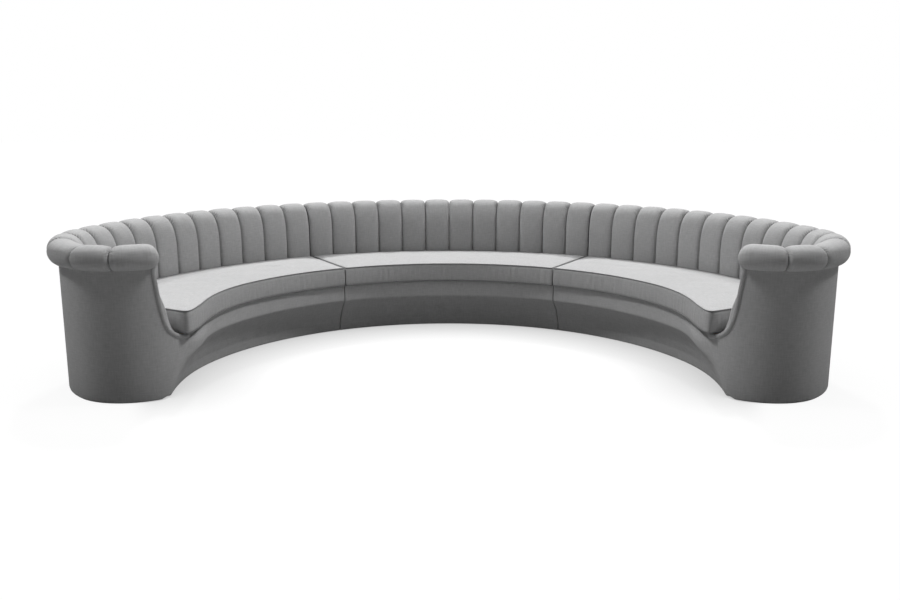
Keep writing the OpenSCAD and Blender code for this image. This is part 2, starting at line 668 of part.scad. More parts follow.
// Pieces of an end module, drawn on the right
module end_base_board() end_plan(base_inset, base_inner, glide_h, base_top);
module end_ribs() {
  for (a = ring_rib_angles) ring_rib(a);
  short_rib(short_rib_angle);
  for (a = corner_rib_angles) arm_rib(corner_c, corner_r, a);
  for (a = arm_rib_angles) arm_rib(arm_c, arm_r, a);
}
module end_side_panel() slotted_panel(start_angle, 1, tongue_slot[0], tongue_slot[1]);
module end_front_rail()
  sweep([0, 0], start_angle + panel_angle(rail_front_r), front_rail_end)
    box_profile(rail_front_r, rail_front_r + rail_w, rail_bottom, rail_top);
module end_rear_rail() end_sweep(rear_rail_d, rear_rail_d + rail_w, rail_bottom, rail_top, arm_frame_end);
module end_back_panel() end_sweep(core_t - panel_t, core_t, rail_bottom, roll_seam_z, arm_frame_end);
module end_top_rail() end_sweep(post_outer, post_inner, top_rail_bottom, roll_seam_z - fit, panel_start - fit);
module end_webbing()
  for (k = [0 : end_straps - 1]) let(s = (k + 0.5) * pitch_run)
    strap(strap_front_r * way(seam_angle + turn(s, wall_r) * strap_fan_share),
      at_path(s, core_t + strap_in));
module end_seat_pad() end_plan(rear_rail_d, rail_front_r, rail_top + strap_t, deck_z);
module end_seat_cushion() loft([for (k = [0 : end_cushion_last]) let(l = end_cushion_lines[k])
  cushion_section(l[0], l[1], end_crown(k / end_cushion_last))]);
module end_back_channels() lofts(concat(
  [for (i = [0 : ring_channels - 1]) channel(max(gap_run, i * pitch_run), (i + 1) * pitch_run)],
  [for (k = [0 : 1]) channel(arm_breaks[k], arm_breaks[k + 1])],
  [last_channel(arm_breaks[2], arm_breaks[3])]
));
module end_front_cover() {
  sweep([0, 0], start_angle, fade_start) plinth_profile();
  plinth_fade();
}
module end_outer_board()
  end_sweep(cover_t + fit, post_outer - fit, glide_h, roll_seam_z, panel_start - fit);
module end_outer_cover() {
  end_band(0, cover_t, glide_h, roll_seam_z, start_angle, panel_start - turn(fit, arm_r));
  arm_panel();
}
module end_dust_cover() difference() {
  end_plan(base_inset, base_inner, glide_h - dust_t, glide_h);
  glide_set(end_glide_places, overrun, glide_r + tongue_fit);
}
module end_glides() glide_set(end_glide_places, glide_h, glide_r);
module end_clip_tongues() for (p = connector_r_share) at_seam(connector_r(p)) tongue();
module end_arm_pad() loft([for (k = [0 : bead_last]) if (bead_flat(bead_last - k).y > deck_z + 2 * fit)
  let(i = bead_last - k, z = i == 0 ? roll_seam_z - fit : bead_flat(i).y) nose_row(bead_angles[i], z)]);
module end_arm_bead() loft([for (i = [0 : bead_last]) bead_ring(i, bead_r)]);

// Right module
module right_base_board() color(plywood) in_place() end_base_board();
module right_ribs() color(plywood) in_place() end_ribs();
module right_side_panel() color(plywood) in_place() end_side_panel();
module right_front_rail() color(plywood) in_place() end_front_rail();
module right_rear_rail() color(plywood) in_place() end_rear_rail();
module right_back_panel() color(plywood) in_place() end_back_panel();
module right_top_rail() color(plywood) in_place() end_top_rail();
module right_webbing() color("black") in_place() end_webbing();
module right_seat_pad() color(padding) in_place() end_seat_pad();
module right_seat_cushion() color("darkgray") in_place() end_seat_cushion();
module right_back_channels() color(fabric) in_place() end_back_channels();
module right_front_cover() color(fabric) in_place() end_front_cover();
module right_outer_board() color(plywood) in_place() end_outer_board();
module right_outer_cover() color(fabric) in_place() end_outer_cover();
module right_dust_cover() color("dimgray") in_place() end_dust_cover();
module right_glides() color("dimgray") in_place() end_glides();
module right_clip_tongues() color(steel) in_place() end_clip_tongues();
module right_arm_pad() color(fabric) in_place() end_arm_pad();
module right_arm_bead() color("dimgray") in_place() end_arm_bead();

// Left module, the mirror of the right one
module left_base_board() color(plywood) in_place() on_left() end_base_board();
module left_ribs() color(plywood) in_place() on_left() end_ribs();
module left_side_panel() color(plywood) in_place() on_left() end_side_panel();
module left_front_rail() color(plywood) in_place() on_left() end_front_rail();
module left_rear_rail() color(plywood) in_place() on_left() end_rear_rail();
module left_back_panel() color(plywood) in_place() on_left() end_back_panel();
module left_top_rail() color(plywood) in_place() on_left() end_top_rail();
module left_webbing() color("black") in_place() on_left() end_webbing();
module left_seat_pad() color(padding) in_place() on_left() end_seat_pad();
module left_seat_cushion() color("darkgray") in_place() on_left() end_seat_cushion();
module left_back_channels() color(fabric) in_place() on_left() end_back_channels();
module left_front_cover() color(fabric) in_place() on_left() end_front_cover();
module left_outer_board() color(plywood) in_place() on_left() end_outer_board();
module left_outer_cover() color(fabric) in_place() on_left() end_outer_cover();
module left_dust_cover() color("dimgray") in_place() on_left() end_dust_cover();
module left_glides() color("dimgray") in_place() on_left() end_glides();
module left_clip_tongues() color(steel) in_place() on_left() end_clip_tongues();
module left_arm_pad() color(fabric) in_place() on_left() end_arm_pad();
module left_arm_bead() color("dimgray") in_place() on_left() end_arm_bead();

middle_base_board();
middle_ribs();
middle_side_panels();
middle_front_rail();
middle_rear_rail();
middle_back_panel();
middle_top_rail();
middle_webbing();
middle_seat_pad();
middle_seat_cushion();
middle_back_channels();
middle_front_cover();
middle_outer_board();
middle_outer_cover();
middle_dust_cover();
middle_glides();
middle_clip_sockets();
right_base_board();
right_ribs();
right_side_panel();
right_front_rail();
right_rear_rail();
right_back_panel();
right_top_rail();
right_webbing();
right_seat_pad();
right_seat_cushion();
right_back_channels();
right_front_cover();
right_outer_board();
right_outer_cover();
right_dust_cover();
right_glides();
right_clip_tongues();
right_arm_pad();
right_arm_bead();
left_base_board();
left_ribs();
left_side_panel();
left_front_rail();
left_rear_rail();
left_back_panel();
left_top_rail();
left_webbing();
left_seat_pad();
left_seat_cushion();
left_back_channels();
left_front_cover();
left_outer_board();
left_outer_cover();
left_dust_cover();
left_glides();
left_clip_tongues();
left_arm_pad();
left_arm_bead();
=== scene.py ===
# %% [markdown]
# # A round sofa in three upholstered modules
# This script dresses the construction model of a round sofa. The frame, the boards and the
# hardware stay as they come from the construction model and get materials. Everything that
# is upholstered is drawn again here as cloth: the channelled back with its roll, the coved
# plinth, the curled arms with their welts, and the three loose cushions with their piping.
# All lengths are in metres, in the same frame as the construction model.

# %% Load the frame
import math
import random

import bmesh
import bpy
import mathutils
import numpy as np
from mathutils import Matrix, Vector


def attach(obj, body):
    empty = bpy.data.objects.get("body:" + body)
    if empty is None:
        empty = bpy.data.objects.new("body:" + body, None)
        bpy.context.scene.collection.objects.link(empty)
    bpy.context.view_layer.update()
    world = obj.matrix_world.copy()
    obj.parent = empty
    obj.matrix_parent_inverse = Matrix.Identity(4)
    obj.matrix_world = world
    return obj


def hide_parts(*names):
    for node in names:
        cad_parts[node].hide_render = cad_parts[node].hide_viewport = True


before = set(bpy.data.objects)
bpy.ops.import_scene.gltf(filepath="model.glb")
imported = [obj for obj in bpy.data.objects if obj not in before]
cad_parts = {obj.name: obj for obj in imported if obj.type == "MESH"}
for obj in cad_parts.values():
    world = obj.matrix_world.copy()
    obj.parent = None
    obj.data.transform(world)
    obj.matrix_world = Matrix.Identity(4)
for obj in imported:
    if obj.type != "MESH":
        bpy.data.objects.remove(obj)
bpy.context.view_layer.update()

SIDES = {"right": 1, "left": -1}

# %% [markdown]
# ## The path round the sofa
# The outside of the back is one path of three arcs with common tangents: the big ring, the
# corner, and the tight curl of the arm. A place on the upholstery is a run along this path, a
# depth inward from it, and a height. The ring's centre is `SHIFT` behind the footprint's centre.

# %% Path and places
SHIFT = 0.872008
# Radii of the back's outside and of the lip under the seat, and the depth between them
WALL_R, LIP_R, DEPTH = 2.045, 1.333, 0.712
# Angles of the module seam, of both ends of the corner, and of the end of the arm
SEAM, CORNER_A, CORNER_B, ARM_END = 30.0, 80.2, 138.001, 219.0
CORNER_R, ARM_R = 0.878 * DEPTH, 0.4312 * DEPTH
HALF_MODULE_GAP = 0.002
GAP_ANGLE = math.degrees(HALF_MODULE_GAP / LIP_R)
# Heights of the lip beside the arm and elsewhere, of the glides, the roll's seam and the deck
ARM_LIP_Z, LIP_TOP_Z, GLIDE_H, ROLL_SEAM_Z, DECK_Z = 0.276, 0.312, 0.006, 0.650, 0.316


def way(degrees):
    """The direction outward at an angle round the ring, from straight back."""
    angle = np.radians(np.asarray(degrees, float))
    return np.stack([np.sin(angle), np.cos(angle)], -1)


CORNER_C = (WALL_R - CORNER_R) * way(CORNER_A)
ARM_C = CORNER_C + (CORNER_R - ARM_R) * way(CORNER_B)
RING_RUN = math.radians(CORNER_A - SEAM) * WALL_R
CORNER_RUN = math.radians(CORNER_B - CORNER_A) * CORNER_R


def arm_run(angle):
    return RING_RUN + CORNER_RUN + np.radians(angle - CORNER_B) * ARM_R


def at_path(run, depth):
    """Place in plan for a run along the path and a depth inward from it."""
    run, depth = np.broadcast_arrays(np.asarray(run, float), np.asarray(depth, float))
    on_ring = run < RING_RUN
    on_corner = run < RING_RUN + CORNER_RUN
    angle = np.where(on_ring, SEAM + np.degrees(run / WALL_R), np.where(
        on_corner, CORNER_A + np.degrees((run - RING_RUN) / CORNER_R),
        CORNER_B + np.degrees((run - RING_RUN - CORNER_RUN) / ARM_R)))
    radius = np.where(on_ring, WALL_R, np.where(on_corner, CORNER_R, ARM_R))
    centre = np.where(on_ring[..., None], 0.0, np.where(on_corner[..., None], CORNER_C, ARM_C))
    return centre + (radius - depth)[..., None] * way(angle)


def raised(plan, z):
    """A place in plan with a height, moved into the frame of the construction model."""
    plan = np.asarray(plan, float)
    z = np.broadcast_to(np.asarray(z, float), plan.shape[:-1])
    return np.stack([plan[..., 0], plan[..., 1] - SHIFT, z], -1)


def smooth(t):
    t = np.clip(t, 0, 1)
    return t * t * (3 - 2 * t)


def paired(first, second):
    """Two arrays spread over each other and put side by side, such as texture places."""
    return np.stack(np.broadcast_arrays(first, second), -1)


# %% [markdown]
# ## Building meshes from grids
# A `Form` gathers grids of points with their texture places in metres, so a weave has the same
# size on every piece. Values that a node tree needs later travel with the points by name.

# %% Mesh forms
def in_scene(name, data):
    obj = bpy.data.objects.new(name, data)
    bpy.context.scene.collection.objects.link(obj)
    return obj


def carry(mesh, name, values):
    """Values that travel with the points of a mesh by name."""
    layer = mesh.attributes.new(name, "FLOAT", "POINT")
    layer.data.foreach_set("value", np.asarray(values).astype(np.float32))


class Form:
    def __init__(self):
        self.points, self.faces, self.uv, self.values, self.count = [], [], [], {}, 0

    def grid(self, points, uv, flip=False, **values):
        n, m = points.shape[:2]
        index = self.count + np.arange(n * m).reshape(n, m)
        quads = np.stack([index[:-1, :-1], index[1:, :-1], index[1:, 1:], index[:-1, 1:]], -1)
        quads = quads.reshape(-1, 4)
        self.faces += (quads[:, ::-1] if flip else quads).tolist()
        self.points.append(points.reshape(-1, 3))
        self.uv.append(uv.reshape(-1, 2))
        for name, value in values.items():
            value = np.broadcast_to(value, (n, m)).reshape(-1)
            self.values.setdefault(name, []).append(value)
        self.count += n * m
        return index

    def add(self, points, uv, faces):
        """Loose points with faces that count from the first of them."""
        self.faces += [[self.count + i for i in f] for f in faces]
        self.points.append(np.asarray(points, float).reshape(-1, 3))
        self.uv.append(np.asarray(uv, float).reshape(-1, 2))
        self.count += len(self.points[-1])

    def make(self, name, side=1, weld=0.0):
        points, uv = np.concatenate(self.points), np.concatenate(self.uv)
        faces = self.faces
        if side < 0:
            points = points * [-1, 1, 1]
            faces = [f[::-1] for f in faces]
        mesh = bpy.data.meshes.new(name)
        mesh.from_pydata(points.tolist(), [], faces)
        layer = mesh.uv_layers.new(name="UVMap")
        corner = np.zeros(len(mesh.loops), np.int64)
        mesh.loops.foreach_get("vertex_index", corner)
        layer.data.foreach_set("uv", uv[corner].ravel())
        for key, parts in self.values.items():
            carry(mesh, key, np.concatenate(parts))
        mesh.shade_smooth()
        obj = in_scene(name, mesh)
        if weld:
            bm = bmesh.new()
            bm.from_mesh(mesh)
            bmesh.ops.remove_doubles(bm, verts=bm.verts, dist=weld)
            bm.to_mesh(mesh)
            bm.free()
        print(f"{name}: {len(mesh.vertices)} points, {len(mesh.polygons)} faces")
        return obj


def places_of(mesh):
    """The places of a mesh's points, one row each."""
    flat = np.zeros(len(mesh.vertices) * 3)
    mesh.vertices.foreach_get("co", flat)
    return flat.reshape(-1, 3)


def line_length(points):
    """Distance along a line of points at each of them."""
    return np.concatenate([[0], np.cumsum(np.linalg.norm(np.diff(points, axis=0), axis=1))])


def dress(obj, body, fabric=None, stands_for=()):
    """Gives a piece its fabric, the body it rides on, and the solids it stands for."""
    if fabric:
        obj.data.materials.append(fabric)
    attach(obj, body)
    if stands_for:
        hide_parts(*stands_for)


# %% [markdown]
# ## Materials
# The cover is a plain woven cloth in mid grey. Slubs run along both threads, a slow cloudiness
# keeps large faces from looking flat, and a fine weave and the slubs raise the surface a little.
# In the gathers' creases the cloth is painted darker, a painted shade.
# The frame has bare plywood with grain and edge plies, black webbing, lining and zinc steel.

# %% Material helpers
class Nodes:
    """A small hand for node trees: makes a node, sets its values and links its inputs."""

    def __init__(self, tree):
        self.tree = tree

    def __call__(self, kind, inputs=(), **settings):
        node = self.tree.nodes.new(kind)
        for key, value in settings.items():
            setattr(node, key, value)
        for key, value in dict(inputs).items():
            socket = node.inputs[key]
            if isinstance(value, bpy.types.NodeSocket):
                self.tree.links.new(value, socket)
            else:
                socket.default_value = value
        return node

    def math(self, operation, a, b=0.0, c=0.0):
        return self("ShaderNodeMath", {0: a, 1: b, 2: c}, operation=operation).outputs[0]


def new_nodes(owner):
    """A hand for the emptied node tree of a material or the world."""
    owner.use_nodes = True
    owner.node_tree.nodes.clear()
    return Nodes(owner.node_tree)


def new_material(name, finish):
    """A material, the hand for its nodes, and its shader with the finish's values."""
    material = bpy.data.materials.new(name)
    make = new_nodes(material)
    finish = {"Sheen Roughness": 0.45, "Specular IOR Level": 0.25, **finish}
    shader = make("ShaderNodeBsdfPrincipled", finish)
    make("ShaderNodeOutputMaterial", {"Surface": shader.outputs[0]})
    return material, make, shader


def mix_colors(make, share, *colors):
    colors = [(*c, 1) if isinstance(c, tuple) else c for c in colors]
    return make("ShaderNodeMix", {0: share, 6: colors[0], 7: colors[1]}, data_type="RGBA").outputs[2]


def cover(make, shader, color, height=None, strength=0.0, distance=0.0):
    """Gives a shader its colour and the height that raises its surface."""
    make.tree.links.new(color, shader.inputs["Base Color"])
    if height is not None:
        bump = make("ShaderNodeBump", {"Height": height, "Strength": strength, "Distance": distance})
        make.tree.links.new(bump.outputs[0], shader.inputs["Normal"])
        return bump


def noise(make, place, scale, detail=2.0, stretch=(1, 1, 1)):
    mapped = make("ShaderNodeMapping", {"Vector": place, "Scale": stretch}).outputs[0]
    return make("ShaderNodeTexNoise", {"Vector": mapped, "Scale": scale, "Detail": detail}).outputs[0]


def crossed_noise(make, place, along, across, detail, strength):
    """Noise drawn out along both threads of a cloth, about zero."""
    both = [noise(make, place, 1.0, detail, stretch)
            for stretch in ((along, across, along), (across, along, across))]
    return make.math("MULTIPLY_ADD", make.math("ADD", *both), strength, -strength)


def attribute_of(make, name):
    return make("ShaderNodeAttribute", attribute_name=name).outputs["Fac"]


CONTRAST, SLUB, HEATHER, CLOUD, FOLD_PAINTED_SHADE = 0.16, 0.5, 1.7, 0.10, 0.50
WEAVE_SCALE, WEAVE_HEIGHT = 260.0, 0.35


def linen(name, color, object_places=False):
    """Plain woven cloth. Threads run along the two texture directions, in metres."""
    material, make, shader = new_material(name, {"Roughness": 0.92, "Sheen Weight": 0.12})
    coordinates = make("ShaderNodeTexCoord")
    place = coordinates.outputs["Object" if object_places else "UV"]
    cloud = noise(make, coordinates.outputs["Object"], 3.0, 3.0)
    threads = crossed_noise(make, place, 28, 420, 2.0, SLUB * CONTRAST)
    heather = crossed_noise(make, place, 22, 170, 1.0, HEATHER * CONTRAST)
    tone = make.math("MULTIPLY_ADD", cloud, CLOUD, 1 - CLOUD / 2)
    tone = make.math("ADD", make.math("ADD", tone, threads), heather)
    # Painted shade: the cloth is darker in the gathers' creases, by the 'fold' that the points carry.
    shade = make.math("MULTIPLY_ADD", attribute_of(make, "fold"), -FOLD_PAINTED_SHADE, 1.0)
    tone = make.math("MULTIPLY", tone, shade)
    grey = make("ShaderNodeVectorMath", {0: color, "Scale": tone}, operation="SCALE").outputs[0]
    warp, weft = (make("ShaderNodeTexWave", {"Vector": place, "Scale": WEAVE_SCALE, "Distortion": 0.6,
                                             "Detail Scale": 40.0}, bands_direction=axis).outputs[1]
                  for axis in "XY")
    weave = make.math("MULTIPLY", make.math("MULTIPLY", warp, weft), WEAVE_HEIGHT)
    height = make.math("ADD", weave, threads)
    puckers = noise(make, place, 1.0, 2.0, (36, 3, 36))
    puckers = make.math("MULTIPLY", puckers, attribute_of(make, "pucker"))
    soft = make("ShaderNodeBump", {"Height": puckers, "Strength": 0.6, "Distance": 0.007})
    fine = cover(make, shader, grey, height, 0.35, 0.0012)
    make.tree.links.new(soft.outputs[0], fine.inputs["Normal"])
    return material


def two_tone(name, finish, texture, first, second, strength=0.0, distance=0.0):
    """A material between two colours, by a texture that can raise its surface too."""
    material, make, shader = new_material(name, finish)
    share = texture(make, make("ShaderNodeTexCoord").outputs["Object"])
    color = mix_colors(make, share, first, second)
    cover(make, shader, color, share if strength else None, strength, distance)
    return material


def grains(scale, detail):
    return lambda make, place: noise(make, place, scale, detail)


def web_ribs(make, place):
    wave = {"Vector": place, "Scale": 90.0, "Distortion": 0.8}
    return make("ShaderNodeTexWave", wave, bands_direction="DIAGONAL").outputs[1]


def zinc_flakes(make, place):
    flakes = make("ShaderNodeTexVoronoi", {"Vector": place, "Scale": 120.0}).outputs["Color"]
    return make("ShaderNodeSeparateColor", {0: flakes}).outputs[0]


def plywood(name):
    material, make, shader = new_material(name, {"Roughness": 0.62})
    place = make("ShaderNodeTexCoord").outputs["Object"]
    grain = noise(make, place, 1.0, 6.0, (9, 70, 9))
    plies = make("ShaderNodeTexWave", {"Vector": place, "Scale": 110.0, "Distortion": 0.4},
                 bands_direction="Z").outputs[1]
    color = mix_colors(make, grain, (0.50, 0.34, 0.19), (0.70, 0.53, 0.34))
    color = mix_colors(make, make.math("MULTIPLY", plies, 0.22), color, (0.36, 0.22, 0.11))
    cover(make, shader, color, grain, 0.2, 0.0006)
    return material


LINEN = linen("linen", (0.400, 0.400, 0.402))
# The piping is the same cloth as the cover, painted darker: a painted shade for the dark line along the
# cushions' seams.
PIPING_PAINTED_SHADE = linen("piping_linen", (0.21, 0.21, 0.212), object_places=True)
WELT = linen("welt_linen", (0.37, 0.37, 0.372), object_places=True)
FELT = {"Roughness": 0.95, "Sheen Weight": 0.1}
LINING = two_tone("lining", FELT, grains(240.0, 4.0), (0.10, 0.10, 0.105), (0.17, 0.17, 0.175),
                  0.4, 0.0008)
DUST = two_tone("dust_cloth", FELT, grains(240.0, 4.0), (0.02, 0.02, 0.022), (0.06, 0.06, 0.064),
                0.4, 0.0008)
WEBBING = two_tone("webbing_cloth", {"Roughness": 0.8}, web_ribs, (0.025, 0.025, 0.027),
                   (0.075, 0.075, 0.08), 0.5, 0.001)
PLASTIC = two_tone("glide_plastic", {"Roughness": 0.5}, grains(700.0, 2.0), (0.02, 0.02, 0.02),
                   (0.045, 0.045, 0.045))
STEEL = two_tone("zinc_steel", {"Roughness": 0.38, "Metallic": 1.0}, zinc_flakes, (0.52, 0.53, 0.55),
                 (0.68, 0.69, 0.70))
CAD_MATERIALS = {"webbing": WEBBING, "seat_pad": LINING, "dust_cover": DUST, "glides": PLASTIC,
                 "clip_sockets": STEEL, "clip_tongues": STEEL}
wood = plywood("plywood")
for kind in ("base_board", "ribs", "side_panels", "side_panel", "front_rail", "rear_rail",
             "back_panel", "top_rail", "outer_board"):
    CAD_MATERIALS[kind] = wood
for name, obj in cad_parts.items():
    kind = name.split("_", 1)[1]
    if kind in CAD_MATERIALS:
        obj.data.materials.clear()
        obj.data.materials.append(CAD_MATERIALS[kind])
print("materials:", len(bpy.data.materials))

# %% [markdown]
# ## Node trees for what repeats
# Two Geometry Nodes trees do the repeating work. The first swells a channel out of its seam
# line and presses the gathers in along one side of the seam, and it keeps the gathers' depth as
# 'fold' for the painted shade in their creases. The second runs a round tube along a line, for the
# piping of the cushions and the welts of the arms. Each ends in Realize Instances and Set
# Material, and its result is kept as a plain mesh.

# %% Node tree helpers
def new_tree(name, numbers):
    tree = bpy.data.node_groups.new(name, "GeometryNodeTree")
    sockets = {}
    tree.interface.new_socket("Geometry", in_out="INPUT", socket_type="NodeSocketGeometry")
    for title, value in numbers.items():
        socket = tree.interface.new_socket(title, in_out="INPUT", socket_type="NodeSocketFloat")
        socket.default_value = value
        sockets[title] = socket.identifier
    socket = tree.interface.new_socket("Fabric", in_out="INPUT", socket_type="NodeSocketMaterial")
    sockets["Fabric"] = socket.identifier
    tree.interface.new_socket("Geometry", in_out="OUTPUT", socket_type="NodeSocketGeometry")
    make = Nodes(tree)
    return tree, sockets, make, make("NodeGroupInput").outputs


def named(make, name):
    """A value that travels with the points by this name."""
    return make("GeometryNodeInputNamedAttribute", {"Name": name}, data_type="FLOAT").outputs["Attribute"]


def close_tree(make, geometry, fabric):
    real = make("GeometryNodeRealizeInstances", {0: geometry}).outputs[0]
    soft = make("GeometryNodeSetShadeSmooth", {0: real}).outputs[0]
    done = make("GeometryNodeSetMaterial", {"Geometry": soft, "Material": fabric}).outputs[0]
    make("NodeGroupOutput", {0: done})


def run_tree(obj, tree, sockets, fabric, **numbers):
    """Put the tree on the object, set its inputs by socket, and keep the result as a mesh."""
    modifier = obj.modifiers.new(tree.name, "NODES")
    modifier.node_group = tree
    modifier[sockets["Fabric"]] = fabric
    for title, value in numbers.items():
        modifier[sockets[title.replace("_", " ").title()]] = float(value)
    bpy.context.view_layer.update()
    graph = bpy.context.evaluated_depsgraph_get()
    mesh = bpy.data.meshes.new_from_object(obj.evaluated_get(graph))
    obj.modifiers.clear()
    obj.data = mesh
    print(f"{obj.name}: {tree.name} made {len(mesh.polygons)} faces")
    return obj


# %% The channel tree
CHANNEL_TREE, CHANNEL_IN, make, inputs = new_tree("Channel swell", {
    "Seam Dive": 0.011, "Seam Width": 0.0040, "Gather Depth": 0.0078, "Gather Pitch": 0.0150,
    "Gather Width": 0.0034, "Gather Slant": 0.9, "Gather Reach": 0.026})

share, edge, swell, gather, run = (
    named(make, name) for name in ("share", "edge", "swell", "gather", "run"))
across = make.math("ABSOLUTE", make.math("MULTIPLY_ADD", share, 2.0, -1.0))
pillow = make.math("POWER", make.math("SUBTRACT", 1.0, make.math("POWER", across, 3.2)), 0.62)
dive = make.math("EXPONENT", make.math(
    "DIVIDE", make.math("MULTIPLY", edge, -1.0), inputs["Seam Width"]))
rise = make.math("MULTIPLY", swell, pillow)
rise = make.math("SUBTRACT", rise, make.math("MULTIPLY", dive, inputs["Seam Dive"]))
rough = make("ShaderNodeTexNoise", {"Scale": 24.0, "Detail": 1.0}).outputs[0]
phase = make.math("SUBTRACT", run, make.math("MULTIPLY", edge, inputs["Gather Slant"]))
phase = make.math("DIVIDE", phase, inputs["Gather Pitch"])
phase = make.math("MULTIPLY_ADD", rough, 2.2, phase)
crease = make.math("SUBTRACT", make.math("FRACT", phase), 0.5)
crease = make.math("MULTIPLY", crease, inputs["Gather Pitch"])
crease = make.math("ABSOLUTE", make.math("DIVIDE", crease, inputs["Gather Width"]))
crease = make.math("EXPONENT", make.math("MULTIPLY", make.math("POWER", crease, 2.0), -1.0))
fade = make.math("POWER", make.math("DIVIDE", edge, inputs["Gather Reach"]), 2.0)
fade = make.math("EXPONENT", make.math("MULTIPLY", fade, -1.0))
fold = make.math("MULTIPLY", make.math("MULTIPLY", crease, fade), gather)
fold = make.math("MULTIPLY", fold, make.math("MULTIPLY_ADD", rough, 1.2, 0.4))
rise = make.math("SUBTRACT", rise, make.math("MULTIPLY", fold, inputs["Gather Depth"]))
normal = make("GeometryNodeInputNormal").outputs[0]
offset = make("ShaderNodeVectorMath", {0: normal, "Scale": rise}, operation="SCALE").outputs[0]
moved = make("GeometryNodeSetPosition", {"Geometry": inputs["Geometry"], "Offset": offset})
# Keeps the gathers' depth as 'fold', which the cloth reads to paint shade into the creases.
kept = make("GeometryNodeStoreNamedAttribute", {
    "Geometry": moved.outputs[0], "Name": "fold", "Value": fold}, data_type="FLOAT", domain="POINT")
close_tree(make, kept.outputs[0], inputs["Fabric"])

# %% The tube tree
TUBE_TREE, TUBE_IN, make, inputs = new_tree("Tube on a line", {"Radius": 0.003, "Sides": 12})
line = make("GeometryNodeMeshToCurve", {0: inputs["Geometry"]}).outputs[0]
line = make("GeometryNodeSetCurveRadius", {"Curve": line, "Radius": named(make, "taper")})
sides = make("FunctionNodeFloatToInt", {0: inputs["Sides"]}).outputs[0]
ring = make("GeometryNodeCurvePrimitiveCircle", {"Resolution": sides, "Radius": inputs["Radius"]})
tube = make("GeometryNodeCurveToMesh", {"Curve": line.outputs[0], "Profile Curve": ring.outputs[0],
                                        "Fill Caps": True}).outputs[0]
close_tree(make, tube, inputs["Fabric"])


def tube_on(name, points, radius, fabric, sides, closed=False, taper=None, side=1):
    """A round tube along a line of points, by the tube tree."""
    points = np.asarray(points, float) * [side, 1, 1]
    count = len(points)
    edges = [(i, i + 1) for i in range(count - 1)] + ([(count - 1, 0)] if closed else [])
    mesh = bpy.data.meshes.new(name)
    mesh.from_pydata(points.tolist(), edges, [])
    carry(mesh, "taper", np.ones(count) if taper is None else taper)
    return run_tree(in_scene(name, mesh), TUBE_TREE, TUBE_IN, fabric, radius=radius, sides=sides)


# %% [markdown]
# ## The channelled back
# A channel is drawn at its seam line first: up the face, over the shoulder, round the roll and
# back under it to the outside. The channel tree then swells it. Rows are close where the cloth
# bends over the top, because the gathers are there, and columns are close beside the seams.

# %% Channel section
# Depth of the face, the heights where it bends over and of the crest, and the roll behind it
FACE, FACE_Z, CREST_Z = 0.125, 0.560, 0.768
ROLL_MID, ROLL_Z, ROLL_OVER, ROLL_TURN = 0.015, 0.712, 0.042, 166
# The channels start just over the deck
CHANNEL_Z = DECK_Z + 0.002
# Spacing of the rows where the gathers are, on the shoulder below them, and on the face
GATHER_ROW, SHOULDER_ROW, FACE_ROW = 0.0021, 0.007, 0.022
# Distances from the crest that the fine rows and the shoulder take up
FINE_BELOW, FINE_ABOVE, SHOULDER_BELOW = 0.13, 0.085, 0.25


def channel_rows():
    """Depth, height, distance from the crest, swell and gather strength of each row."""
    rising = np.linspace(CHANNEL_Z, FACE_Z, 60)[:-1]
    bend = np.radians(np.linspace(0, 90, 500))
    power = 2 / 2.4
    turned = np.radians(np.linspace(0, ROLL_TURN, 400)[1:])
    low = np.where(turned < math.pi / 2, CREST_Z - ROLL_Z, ROLL_Z - ROLL_SEAM_Z)
    depth = np.concatenate([np.full(len(rising), FACE),
                            ROLL_MID + (FACE - ROLL_MID) * np.cos(bend) ** power,
                            ROLL_MID - (ROLL_OVER + ROLL_MID) * np.sin(turned)])
    z = np.concatenate([rising, FACE_Z + (CREST_Z - FACE_Z) * np.sin(bend) ** power,
                        ROLL_Z + low * np.cos(turned)])
    turn = np.concatenate([np.full(len(rising), -90.0), np.degrees(bend) - 90, np.degrees(turned)])
    length = np.concatenate([[0], np.cumsum(np.hypot(np.diff(depth), np.diff(z)))])
    crest = length[np.searchsorted(turn, 0)]
    marks = [0.0]
    while marks[-1] < length[-1]:
        at = marks[-1]
        fine = crest - FINE_BELOW < at < crest + FINE_ABOVE
        coarse = SHOULDER_ROW if at > crest - SHOULDER_BELOW else FACE_ROW
        marks.append(at + (GATHER_ROW if fine else coarse))
    marks[-1] = length[-1]
    marks = np.array(marks)
    depth, z, turn = (np.interp(marks, length, values) for values in (depth, z, turn))
    swell = np.interp(turn, [-90, 0, 90, 140, ROLL_TURN], [0.019, 0.018, 0.011, 0.006, LAST_SWELL])
    gather = smooth((marks - (crest - 0.12)) / 0.07) * smooth((crest + 0.080 - marks) / 0.04)
    return depth, z, marks - crest, swell, gather


LAST_SWELL = 0.001
ROWS = channel_rows()
# First row of the roll's underside that the arm's last channel closes back to
ROLL_FIRST = int(np.argmax(ROWS[1] >= ROLL_SEAM_Z))
under = np.linspace(0, 1, 8)[1:]
LAST_ROWS = [
    ROWS[0][-1] + (ROWS[0][ROLL_FIRST] - ROWS[0][-1]) * under,
    ROWS[1][-1] + (ROWS[1][ROLL_FIRST] - ROWS[1][-1]) * under,
    ROWS[2][-1] + 0.12 * under,
    LAST_SWELL + (ROWS[3][ROLL_FIRST] - LAST_SWELL) * under ** 3,
    0 * under,
]
SEAM_STEPS = np.array([0, 1.2, 2.8, 5, 8, 12, 17, 23, 31, 41]) / 1000
COLUMN_STEP = 0.014
# Run of a channel, and the halves of the gaps between channels and at a module's seam
CHANNELS = 12
PITCH = math.radians(2 * SEAM / CHANNELS) * WALL_R
GAP_RUN = math.radians(GAP_ANGLE) * WALL_R
HALF_GAP, MEET_RUN = 0.0004, 0.0010
